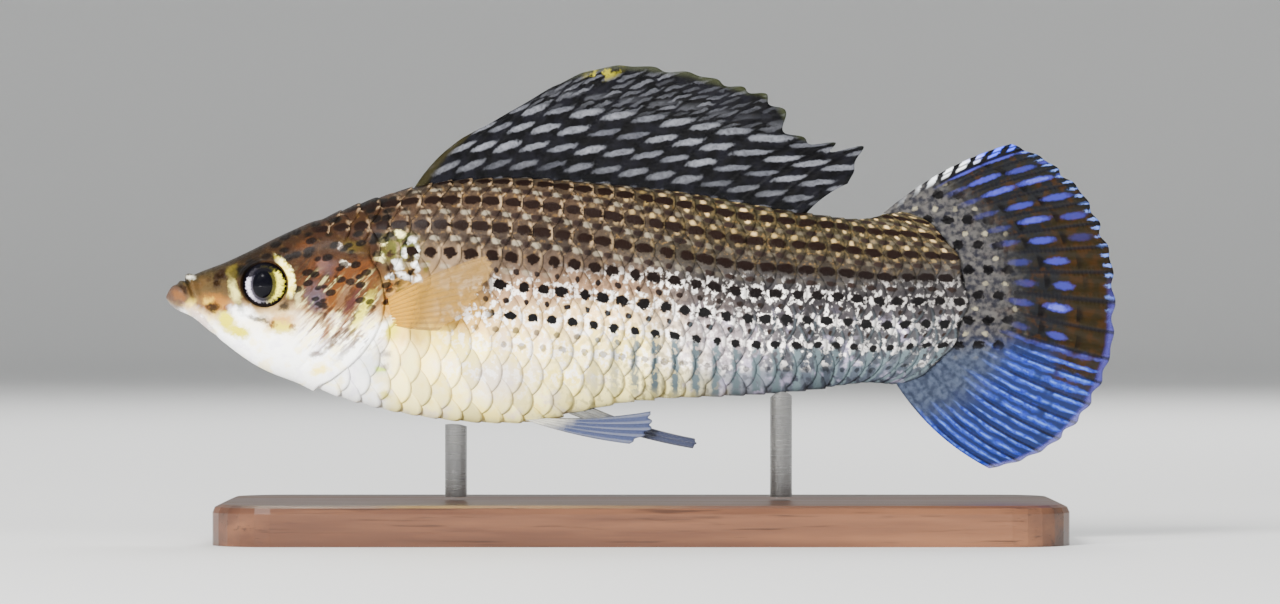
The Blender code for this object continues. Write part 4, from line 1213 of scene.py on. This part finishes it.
def scale_surface(g, colour):
    """A scale's own shade, its pale or grey rear edge, and the height of its growth rings."""
    behind, across, shade, local = g.attribute("scale")
    colour = g.brighten(colour, g.spread(shade, 0.74, 1.28))
    high = g.step(g.down, 0.42, 0.26)
    edge = g.step(behind, 0.50, 0.16) * g.step(g.noise(g.side, 1.2), 0.34, 0.52)
    edge = edge * g.step(abs(g.off_row) + g.uneven * 0.5, 1.05, 0.45)
    edge = edge * high * g.lerp(g.s, 42.0, 54.0, 0.95, 0.40)
    colour = g.mix(edge, colour, g.mix(g.step(g.s, 40.0, 52.0), (156, 130, 98), (104, 88, 56)))
    low = g.step(g.down, 0.50, 0.62) * g.step(g.down, 0.97, 0.8) * g.step(g.s, 34.0, 44.0)
    colour = g.mix(g.step(behind, 0.42, 0.16) * low * 0.3, colour, (86, 98, 104))
    focus = g.length(behind - 2.1, across * 0.85)
    rings = g.math("SINE", focus * 46.0) * 0.5 + 0.5
    return colour, rings * 0.5 + g.noise(local, 9.0, 3.0) * 0.5


def add_cheek(g, colour):
    """Slanted rusty, cream and dark streaks on the cheek, and the marks of the head."""
    streaky = g.noise(g.stretch(g.turned(g.side, math.radians(-45)), 2.4, 0.34, 1.0), 1.0, 3.0, 0.6)
    cheek = g.step(g.s, 12.5, 15.5) * g.step(g.s, 22.4, 20.6)
    cheek = cheek * g.step(g.h, -6.6, -3.6) * g.step(g.h, 4.6, 2.6)
    colour = g.mix(g.step(streaky, 0.47, 0.56) * cheek * 0.8, colour, RUST)
    colour = g.mix(g.step(streaky, 0.46, 0.38) * cheek * g.step(g.h, 3.6, 0.0) * 0.8, colour, CREAM)
    colour = paint(g, colour, g.wobbled, HEAD_MARKS)
    return g.mix(g.step(streaky, 0.57, 0.64) * cheek * 0.75, colour, (38, 20, 8))


def add_crown(g, colour):
    """Uneven dark spots on the crown, in a brown net."""
    crown_at = g.stretch(g.turned(g.side, math.radians(15)), 0.75, 1.25, 1.0)
    crown = g.node("TexVoronoi", {"Vector": crown_at, "Scale": 1.0})
    lowest = g.lerp(g.s, 12.0, 16.0, 0.46, 0.54)
    crowned = g.step(g.down - lowest, 0.04, -0.04) * g.step(g.s, 8.0, 11.0) * g.step(g.s, 27.0, 22.0)
    net = g.step(crown, 0.40, 0.60) * crowned * g.lerp(g.s, 10.0, 18.0, 0.25, 0.5)
    colour = g.mix(net, colour, (46, 27, 15))
    return g.mix(g.step(crown + g.uneven * 0.12, 0.50, 0.34) * crowned * 0.92, colour, (8, 4, 2))


def add_orbit(g, colour):
    """A cream and yellow crescent on the skin behind the eye."""
    orbit = g.length(g.s - EYE_CENTRE[0] - 0.1, g.h - EYE_CENTRE[1])
    rim = g.step(orbit, 2.35, 2.55) * g.step(orbit + (g.mottle - 0.5) * 0.8, 3.25, 2.9)
    rim = rim * g.step(g.s - EYE_CENTRE[0] + (g.h - EYE_CENTRE[1]) * 0.3, 1.7, 2.5)
    rim = rim * g.step(g.h, -0.4, 0.6)
    return g.mix(rim * 0.9, colour, g.mix(g.step(g.mottle, 0.46, 0.56), CREAM, (236, 214, 60)))


def flesh_material(name, scaled):
    """Silvery flanks, an olive back and a white throat, under rows of dark spots."""
    g = flesh_graph(name)
    colour = add_mottles(g, ground_colour(g))
    colour = paint(g, colour, g.wobbled, FLANK_MARKS)
    colour = add_rows(g, colour)
    if scaled:
        colour, height = scale_surface(g, colour)
        smoothest, roughest, depth = 0.30, 0.48, 0.022
    else:
        grain = g.node("TexVoronoi", {"Vector": g.place, "Scale": 5.0})
        height = grain * 0.4 + g.noise(g.place, 7.0, 5.0, 0.6) * 0.6
        smoothest, roughest, depth = 0.32, 0.50, 0.05
    roughness = g.lerp(g.noise(g.side, 3.0), 0.3, 0.7, smoothest, roughest)
    colour = add_orbit(g, add_crown(g, add_cheek(g, colour)))
    colour = g.mix(g.dark, colour, g.mix(g.step(g.h, -2.0, 6.0), BLACK, (16, 7, 3)))
    silver = g.step(g.down, 0.36, 0.52) * g.lerp(g.s, 8.0, 30.0, 0.04, 0.16) * (1.0 - g.dark)
    normal = g.relief(height, depth)
    return g.finish(Base_Color=colour, Roughness=roughness, Metallic=silver, Normal=normal)


def eye_material():
    """A black pupil in a silver and pale yellow iris, with a dark rim."""
    g = Graph("eye", Coat_Weight=0.15, Coat_Roughness=0.03, Roughness=0.2, IOR=1.45, Specular_IOR_Level=0.1)
    x, _, z, _ = g.attribute("eye")
    around = g.math("ARCTAN2", z, x)
    off = g.length(x, z)
    pupil = g.length(x / PUPIL[0], z / PUPIL[1])
    fibres = g.noise(g.join(around * 3.0, off * 1.2), 3.0, 4.0)
    side = g.step(x + z * 0.25, -0.5, 0.5)
    iris = g.mix(side, (206, 198, 216), (252, 240, 74))
    iris = g.mix(g.step(fibres, 0.46, 0.66) * 0.6, iris, (70, 64, 54))
    crown = g.step(z - x * 0.25 + (fibres - 0.5) * 0.7, 0.80, 1.15)
    iris = g.mix(crown * 0.97, iris, (8, 7, 10))
    foot = g.step(z + (fibres - 0.5) * 0.4, -1.05, -1.5)
    iris = g.mix(foot * 0.5, iris, (60, 54, 62))
    rear = g.math("MAXIMUM", x, 0.0)
    ring = g.step(off - rear * 0.13 + (fibres - 0.5) * 0.7, 1.64, 1.92)
    iris = g.mix(ring, iris, (8, 7, 12))
    halo = g.step(pupil - rear * 0.08 + (fibres - 0.5) * 0.5, 1.42, 1.15)
    iris = g.mix(halo * 0.95, iris, (10, 9, 16))
    colour = g.mix(g.step(pupil, 1.05, 0.98), iris, (1, 1, 6))
    metal = g.step(pupil, 1.0, 1.1) * 0.3
    return g.finish(Base_Color=colour, Metallic=metal, Normal=g.relief(fibres, 0.02))


def fin_graph(name, **sockets):
    """A fin material's graph. x counts the rays, web is 0 between two, and over is a measure in mm."""
    g = Graph(name, **sockets)
    g.x, g.along, g.over, _ = g.attribute("ray")
    g.web = g.math("FRACT", g.x) - 0.5
    g.near_ray = abs(g.web) * 2.0
    g.place = g.attribute("place")[3]
    return g


def side_view(g):
    """The place of a fin's point in the side view: s, h and both as a vector."""
    s, _, h, _ = g.attribute("place")
    return s, h, g.join(s, h)


def ray_joints(g):
    """The fine joints that cross every ray."""
    return g.math("SINE", g.over * 15.0 + round(g.x) * 2.0) * 0.5 + 0.5


def ray_bumps(g):
    """Height of the joints on the rays and of a fine grain over the whole fin."""
    return ray_joints(g) * g.step(g.near_ray, 0.5, 0.8) * 0.6 + g.noise(g.place, 5.0, 3.0) * 0.4


def sail_light(g):
    """Pale dashes in rows over the base, two finer marks to a web above them, and the dashes' colour."""
    column = math.floor(g.x)
    row_at = (g.over - g.web * 0.80 - 1.2 + g.wobble * 0.45) / 1.85
    row = round(row_at)
    dice = g.chance(column, row)
    g.rough = g.noise(g.place, 2.2, 4.0, 0.6) - 0.5
    dash = g.length((g.web + (dice - 0.5) * 0.08) / 0.50, (row_at - row) / g.spread(dice, 0.20, 0.28))
    dash = g.step(dash + g.rough * 1.3, 1.15, 0.60) * g.step(g.over, 9.4, 6.4)
    half_web = g.math("FRACT", g.x * 2.0) - 0.5
    half_column = math.floor(g.x * 2.0)
    fine_at = (g.over - half_web + g.wobble * 1.8) / 1.05 + g.chance(half_column, 7.0)
    fine_row = round(fine_at)
    fine_dice = g.chance(half_column, fine_row, 3.0)
    centre = half_web + (fine_dice - 0.5) * 0.2
    fine = g.length(centre / g.spread(fine_dice, 0.34, 0.52), (fine_at - fine_row) / 0.30)
    fine = g.step(fine + g.rough * 1.2, 1.2, 0.70) * g.step(g.over, 6.0, 9.0) * g.step(fine_dice, 0.08, 0.2)
    light = g.math("MAXIMUM", dash, fine * g.spread(fine_dice, 0.25, 0.75))
    return light * g.step(g.near_ray, 1.0, 0.82), row, dice


def sail_material():
    """Black web between the rays with leaning dashes of grey-white in rows over the base."""
    g = fin_graph("sail_fin", Coat_Weight=0.05, Coat_Roughness=0.25, IOR=1.45, Specular_IOR_Level=0.15)
    g.wobble = g.noise(g.place, 0.8, 3.0) - 0.5
    light, row, dice = sail_light(g)
    ground = g.mix(g.step(g.wobble, -0.12, 0.2), (2, 2, 3), (10, 10, 14))
    bright = g.spread(row, 0.6, 1.0) * g.lerp(g.rough, -0.2, 0.2, 0.5, 1.4)
    bright = bright * g.lerp(g.over, 5.0, 10.0, 1.0, 0.7)
    pale = g.brighten(g.mix(g.step(dice, -0.5, 0.9), (32, 33, 39), (82, 83, 88)), bright)
    colour = g.mix(light, ground, pale)
    lead = g.step(g.x + g.wobble * 0.4, 0.35, 0.05) * g.step(g.over, 12.0, 5.0)
    colour = g.mix(lead * 0.8, colour, (30, 27, 12))
    margin = g.step(g.along + g.wobble * 0.06, 0.92, 0.985)
    margin = margin * g.step(g.x, 1.5, 4.0) * g.step(g.x, 14.0, 9.0)
    colour = g.mix(margin * 0.6, colour, (44, 47, 28))
    tuft = g.spot(side_view(g)[2], (43.8, 22.5), (1.6, 0.65), 14, 0.6)
    colour = g.mix(tuft * g.step(g.wobble + g.rough * 0.5, -0.08, 0.06), colour, (112, 106, 22))
    alpha = 1.0 - g.step(g.along, 0.86, 1.0) * g.step(g.x, 9.0, 5.0) * 0.3
    return g.finish(Base_Color=colour, Roughness=0.42, Alpha=alpha, Normal=g.relief(ray_bumps(g), 0.03))


def tail_ground(g):
    """Black above and deep blue below, with an orange-brown band towards the rim."""
    ground = g.mix(g.lower, (14, 15, 17), (17, 25, 56))
    tawny = g.mix(g.step(g.noise(g.side, 0.5), 0.45, 0.6), (20, 17, 8), (38, 22, 4))
    ground = g.mix(g.step(g.noise(g.side, 1.1, 3.0), 0.44, 0.62) * (1.0 - g.lower) * 0.7, ground, tawny)
    band = g.step(g.along + g.wobble * 0.08, 0.58, 0.74) * g.step(g.along, 0.99, 0.94)
    band = band * g.step(g.x, 3.2, 5.4) * g.step(g.x, 12.4, 11.0)
    ochre = g.mix(g.step(g.noise(g.side, 0.9, 3.0), 0.42, 0.66), (22, 17, 5), (34, 20, 3))
    return g.mix(band * 0.92, ground, ochre)


def tail_dashes(g, colour, column, dice):
    """Arcs of dashes in the webs of the upper lobe, with black between them."""
    arc_at = (g.along + (dice - 0.5) * 0.08 + g.step(column, 7.0, 1.0) * 0.09 - 0.10) / 0.26
    row = round(arc_at)
    dice = g.chance(column, row, 2.0)
    g.rough = g.noise(g.side, 2.4, 3.0) - 0.5
    length = g.lerp(column, 1.0, 6.0, 0.50, 0.32) * g.spread(dice, 0.9, 1.25)
    dash = g.length((g.web + (dice - 0.5) * 0.2) / 0.20, (arc_at - row) / length)
    dash = g.step(dash + g.rough * 0.8, 1.10, 0.5) * g.step(g.over, 2.6, 4.2) * g.spread(dice, 0.55, 1.0)
    inner = g.lerp(row, 1.0, 2.0, 0.3, 0.85) * g.step(row, 0.4, 0.6)
    dash = dash * inner * (1.0 - g.step(row, 2.4, 2.6) * g.step(column, 3.0, 6.0))
    dark = g.length((g.web - (dice - 0.5) * 0.3) / 0.34, (arc_at - row + 0.5) / 0.18)
    dark = g.step(dark + g.wobble * 0.5, 1.2, 0.6) * (1.0 - g.lower)
    dark = dark * g.step(g.along, 0.86, 0.7) * g.step(g.over, 1.5, 3.0)
    return dash, g.mix(dark * 0.9, colour, BLACK)


def tail_streaks(g, colour, dash):
    """Electric blue streaks in the lower lobe, two to each web, and the blue of the dashes."""
    twin = g.math("FRACT", g.x * 2.0 + 0.25) - 0.5
    column = math.floor(g.x * 2.0 + 0.25)
    dice = g.chance(column, 8.0)
    start = g.spread(dice, 0.06, 0.34)
    width = g.step(g.along - start, -0.1, 0.3) * g.step(g.along, 1.06, 0.80) * 0.34 + 0.05
    width = width * g.spread(dice, 1.05, 0.55)
    streak = g.step(abs(twin + g.wobble * 0.5) / width + g.rough * 1.3, 1.2, 0.5)
    streak = streak * g.step(g.along - start, 0.0, 0.12) * g.step(g.along, 1.0, 0.93)
    streak = streak * g.step(g.noise(g.join(column * 3.0, g.over * 0.5), 1.0), 0.30, 0.50)
    light = dash * (1.0 - g.lower) + streak * g.lower
    lower_blue = g.mix(g.step(g.rough, -0.15, 0.15), (16, 28, 100), (34, 54, 126))
    blue = g.mix(g.lower, (44, 46, 128), lower_blue)
    core = g.step(abs(twin + g.wobble * 0.2), 0.16, 0.02) * g.lower
    core = g.math("MAXIMUM", core, g.step(dash, 0.7, 1.0) * (1.0 - g.lower) * 0.6)
    core = core * g.step(g.noise(g.side, 1.3, 3.0), 0.38, 0.6)
    blue = g.mix(core, blue, g.mix(g.lower, (104, 110, 190), (62, 88, 150)))
    return g.mix(light, colour, blue)


def tail_rim(g, colour):
    """Blue ticks and a violet margin along the rim, and black and white beads on the top edge."""
    tick = g.math("FRACT", g.x * 2.6) - 0.5
    ticks = g.step(abs(tick) + g.rough * 0.8, 0.24, 0.08) * g.step(g.x, 9.0, 7.6)
    colour = g.mix(g.step(g.along + g.rough * 0.12, 0.92, 0.955) * ticks * 0.9, colour, (76, 98, 162))
    margin = g.step(g.along + g.wobble * 0.03, 0.93, 0.975) * g.step(g.x, 7.0, 8.4)
    colour = g.mix(margin * 0.7, colour, (50, 46, 124))
    top_edge = g.step(g.x, 0.52, 0.40) * g.step(g.over, -0.5, 1.0)
    bead_at = g.math("FRACT", g.over / 1.5 + g.x * 1.4 + g.wobble * 0.5) - 0.5
    beads = g.step(abs(bead_at) + g.rough * 0.4, 0.34, 0.16) * g.step(g.x, 0.30, 0.10)
    bead_colour = g.mix(g.step(g.along, 0.55, 0.8), (226, 230, 232), (60, 80, 240))
    return margin, g.mix(top_edge * 0.95, colour, g.mix(beads, BLACK, bead_colour))


def tail_root(g, colour, s, h):
    """Grey flesh over the root, with the flank's rows of spots and dots running out over it."""
    root = g.step(g.along + g.wobble * 0.2, 0.46, 0.14)
    upper = g.mix(g.step(g.noise(g.side, 1.6, 4.0), 0.36, 0.64), (25, 25, 30), (62, 60, 58))
    lower = g.mix(g.step(g.noise(g.side, 1.6, 4.0), 0.36, 0.64), (30, 35, 46), (50, 57, 70))
    colour = g.mix(root * 0.92, colour, g.mix(g.step(h + g.wobble * 2.0, -3.5, -6.5), upper, lower))
    _, _, dx, dy = cell(g, (s - SPOT_PHASE) / PITCH, 3.0 - (h - TAIL_ROW_START) / TAIL_ROW_HEIGHT)
    speckled = g.step(g.along, 0.46, 0.22) * g.step(h, -6.4, -4.6) * g.step(g.x, 0.4, 0.9)
    spot = g.step(g.length(dx / 0.55, dy / 0.50) + g.rough * 1.8, 1.2, 0.85)
    colour = g.mix(spot * speckled, colour, BLACK)
    _, dice, dx, dy = cell(g, (s - SPOT_PHASE) / PITCH - 0.35, 3.45 - (h - TAIL_ROW_START) / TAIL_ROW_HEIGHT)
    dot = g.step(g.length(dx, dy) / 0.30 + g.rough * 2.2, 1.3, 0.4) * g.step(dice, 0.2, 0.6)
    return g.mix(dot * speckled * 0.8, colour, (116, 110, 90))


def tail_material():
    """A dark fan with electric blue streaks, an orange-brown band and a pale violet margin."""
    g = fin_graph("tail_fin", Coat_Weight=0.05, Coat_Roughness=0.2, IOR=1.45, Specular_IOR_Level=0.18)
    s, h, side = side_view(g)
    g.side = g.point(side)
    g.wobble = g.noise(g.side, 0.7, 3.0) - 0.5
    column = math.floor(g.x)
    dice = g.chance(column, 5.0)
    g.lower = g.step(g.x + g.wobble, 9.8, 10.8)
    dash, colour = tail_dashes(g, tail_ground(g), column, dice)
    colour = tail_streaks(g, colour, dash)
    margin, colour = tail_rim(g, colour)
    colour = tail_root(g, colour, s, h)
    colour = g.mix(g.step(g.near_ray, 0.80, 0.94) * g.step(g.along, 0.3, 0.45) * 0.8, colour, (10, 10, 14))
    alpha = 1.0 - margin * 0.35
    return g.finish(Base_Color=colour, Roughness=0.38, Alpha=alpha, Normal=g.relief(ray_bumps(g), 0.03))


def clear_fin_material(name, web_colour, ray_colour, root_colour, web_alpha, root_reach):
    """A translucent web with paler rays, denser towards its root."""
    g = fin_graph(name, Coat_Weight=0.1, Coat_Roughness=0.2, IOR=1.4, Specular_IOR_Level=0.3)
    on_ray = g.step(g.near_ray, 0.45, 0.8)
    root = g.step(g.along + (g.noise(g.place, 1.2) - 0.5) * 0.2, root_reach, 0.0)
    colour = g.mix(on_ray, web_colour, ray_colour)
    colour = g.mix(root, colour, root_colour)
    joints = ray_joints(g)
    colour = g.mix(joints * on_ray * 0.25, colour, (90, 84, 76))
    alpha = g.math("MAXIMUM", g.spread(on_ray, web_alpha, min(web_alpha + 0.2, 0.95)), root)
    bumps = joints * on_ray * 0.6 + g.noise(g.place, 6.0, 3.0) * 0.4
    return g.finish(Base_Color=colour, Roughness=0.34, Alpha=alpha, Normal=g.relief(bumps, 0.025))


def wood_material():
    """Dark stained wood with grain along the base."""
    g = Graph("stand_wood", Coat_Weight=0.2, Coat_Roughness=0.24, IOR=1.5)
    place = g.node("TexCoord", {}, 3)
    bands = g.noise(g.stretch(place, 14.0, 210.0, 210.0), 1.0, 6.0, 0.62)
    pores = g.noise(g.stretch(place, 90.0, 2600.0, 2600.0), 1.0, 3.0, 0.6)
    colour = g.ramp(bands, (0.30, 38, 24, 18), (0.50, 64, 40, 28), (0.70, 92, 60, 40))
    colour = g.mix(g.step(pores, 0.56, 0.70) * 0.6, colour, (22, 14, 11))
    height = bands * 0.4 + g.step(pores, 0.70, 0.54) * 0.6
    roughness = g.lerp(bands, 0.3, 0.7, 0.30, 0.44)
    return g.finish(Base_Color=colour, Roughness=roughness, Normal=g.relief(height, 0.02))


def steel_material():
    """Brushed steel with fine turned lines."""
    g = Graph("stand_steel", Metallic=1.0, IOR=1.5)
    place = g.node("TexCoord", {}, 3)
    lines = g.noise(g.stretch(place, 120.0, 120.0, 9000.0), 1.0, 4.0, 0.7)
    smudge = g.noise(place, 260.0, 3.0)
    colour = g.mix(smudge, (142, 143, 146), (176, 174, 170))
    roughness = g.lerp(lines, 0.3, 0.7, 0.22, 0.38)
    return g.finish(Base_Color=colour, Roughness=roughness, Normal=g.relief(lines, 0.01))


def floor_material():
    g = Graph("stage_floor", Roughness=0.6)
    place = g.node("TexCoord", {}, 3)
    colour = g.mix(g.noise(place, 3.0, 4.0) * 0.3, (226, 226, 224), (218, 219, 220))
    return g.finish(Base_Color=colour)


# Clear fins: the colours of web, rays and root, the web's opacity and how far the root reaches
CLEAR_FINS = {
    "pectoral_fin": ((138, 106, 52), (126, 95, 44), (150, 108, 22), 0.34, 0.5),
    "gonopodium_fin": ((34, 38, 56), (44, 48, 64), (96, 96, 92), 0.85, 0.2),
    "belly_fin": ((50, 56, 80), (72, 77, 94), (150, 148, 138), 0.78, 0.3),
}

# Studio
CAMERA_DISTANCE = 0.6
VIEW_WIDTH = 0.128
VIEW_CENTRE = (-0.0001, 0.0238)
SENSOR = 36.0
FLOOR_STEPS = (0.3, 0.8)
FLOOR_RADIUS = 1.6
FLOOR_TURNS = 128
WALL_BEND = 0.9
WALL_TOP = 2.6
DAYLIGHT, WARM, COOL = (1.0, 1.0, 1.0), (1.0, 0.98, 0.95), (0.94, 0.97, 1.0)
# Each lamp: place, size, power and colour
SOFT_LAMPS = {
    "key": ((-0.35, -0.62, 0.50), 0.35, 11.0, WARM),
    "low": ((-0.30, -0.46, 0.03), 0.05, 11.0, DAYLIGHT),
    "fill": ((0.65, -0.60, 0.30), 0.50, 6.0, COOL),
    "front": ((-0.10, -0.95, 0.08), 0.35, 7.0, DAYLIGHT),
    "rim": ((0.15, 0.60, 0.60), 0.40, 8.0, DAYLIGHT),
}
SPARK = ((-0.30, -0.50, 0.62), 0.16, 1.5, DAYLIGHT)
SURROUND = (232, 235, 240)
SURROUND_STRENGTH = 0.5


def add_floor():
    """A pale round floor that bends up into a wall, so that every view has the same ground."""
    bend = np.radians(np.linspace(0, 90, 25))
    profile = [(radius, 0.0) for radius in FLOOR_STEPS]
    profile += [(FLOOR_RADIUS + WALL_BEND * math.sin(a), WALL_BEND * (1 - math.cos(a))) for a in bend]
    profile.append((FLOOR_RADIUS + WALL_BEND, WALL_TOP))
    radius, z = np.array(profile).T[:, :, None]
    k = np.arange(FLOOR_TURNS)
    turn = (k * 2 * math.pi / FLOOR_TURNS)[None, :]
    ring = np.stack([radius * np.cos(turn), radius * np.sin(turn), z + 0 * turn], -1)
    points = np.concatenate([ring.reshape(-1, 3), [[0.0, 0.0, 0.0]]])
    cap = np.stack([np.full(FLOOR_TURNS, len(points) - 1), k, (k + 1) % FLOOR_TURNS], -1)
    mesh = make_mesh("floor", points, [grid_faces(len(radius), FLOOR_TURNS, closed=True, flip=True), cap])
    mesh.materials.append(floor_material())
    floor = bpy.data.objects.new("floor", mesh)
    bpy.context.scene.collection.objects.link(floor)
    floor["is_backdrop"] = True


def add_lamp(name, place, size, power, colour, glints=False):
    """A square lamp that points at the fish. Only a lamp with glints shows in reflections."""
    lamp = bpy.data.lights.new(name, "AREA")
    lamp.size, lamp.energy, lamp.color = size, power, colour
    obj = bpy.data.objects.new(name, lamp)
    obj.location = place
    aim = np.array([0.0, 0.0, AXIS_HEIGHT * MM]) - np.array(place)
    yaw, pitch = math.atan2(aim[1], aim[0]), math.atan2(math.hypot(aim[0], aim[1]), -aim[2])
    obj.rotation_euler = (pitch, 0.0, yaw - math.pi / 2)
    obj.visible_camera = False
    obj.visible_glossy = glints
    bpy.context.scene.collection.objects.link(obj)


def add_studio():
    """Camera at the photo's side-on view, five soft lamps, a small one that glints, and a surround."""
    camera = bpy.data.cameras.new("camera")
    camera.sensor_width = SENSOR
    camera.lens = SENSOR * CAMERA_DISTANCE / VIEW_WIDTH
    camera.clip_start, camera.clip_end = 0.01, 20.0
    obj = bpy.data.objects.new("camera", camera)
    obj.location = (VIEW_CENTRE[0], -CAMERA_DISTANCE, VIEW_CENTRE[1])
    obj.rotation_euler = (math.pi / 2, 0.0, 0.0)
    bpy.context.scene.collection.objects.link(obj)
    bpy.context.scene.camera = obj
    for name, lamp in SOFT_LAMPS.items():
        add_lamp(name, *lamp)
    add_lamp("spark", *SPARK, glints=True)
    surround = bpy.data.worlds.new("surround")
    surround.use_nodes = True
    background = surround.node_tree.nodes["Background"]
    background.inputs[0].default_value = (*tint(*SURROUND), 1.0)
    background.inputs[1].default_value = SURROUND_STRENGTH
    bpy.context.scene.world = surround


def dress_stand():
    """The stand's own solids stay, in wood and steel."""
    wood, steel = wood_material(), steel_material()
    for name, node in frame["nodes"].items():
        if name.startswith("stand_"):
            node.data.materials.clear()
            node.data.materials.append(wood if name == "stand_base" else steel)


def main():
    add_skin(flesh_material("flesh_skin", False))
    coat = flesh_material("flesh_scales", True)
    eye = eye_material()
    gold, dark, pale = (clear_fin_material(name, *look) for name, look in CLEAR_FINS.items())
    for side, label in ((-1, "left"), (1, "right")):
        add_scales(side, label, coat)
        add_eye(side, label, eye)
        add_fin("pectoral_fin_" + label, pectoral_fin(side), gold, "clear_fin", rows=48, seed=3)
        add_fin("pelvic_fin_" + label, pelvic_fin(side), pale, "clear_fin", rows=40, seed=4)
    add_fin("dorsal_fin", dorsal_fin(), sail_material(), "sail_fin", seed=1)
    add_fin("tail_fin", tail_fin(), tail_material(), "tail_fin", seed=2)
    add_fin("gonopodium", gonopodium(), dark, "clear_fin", rows=48, seed=5)
    dress_stand()
    add_floor()
    add_studio()


main()
boxes = {
    "solids": [list(corner) for corner in solid_box],
    "visual": [list(corner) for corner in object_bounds()],
}
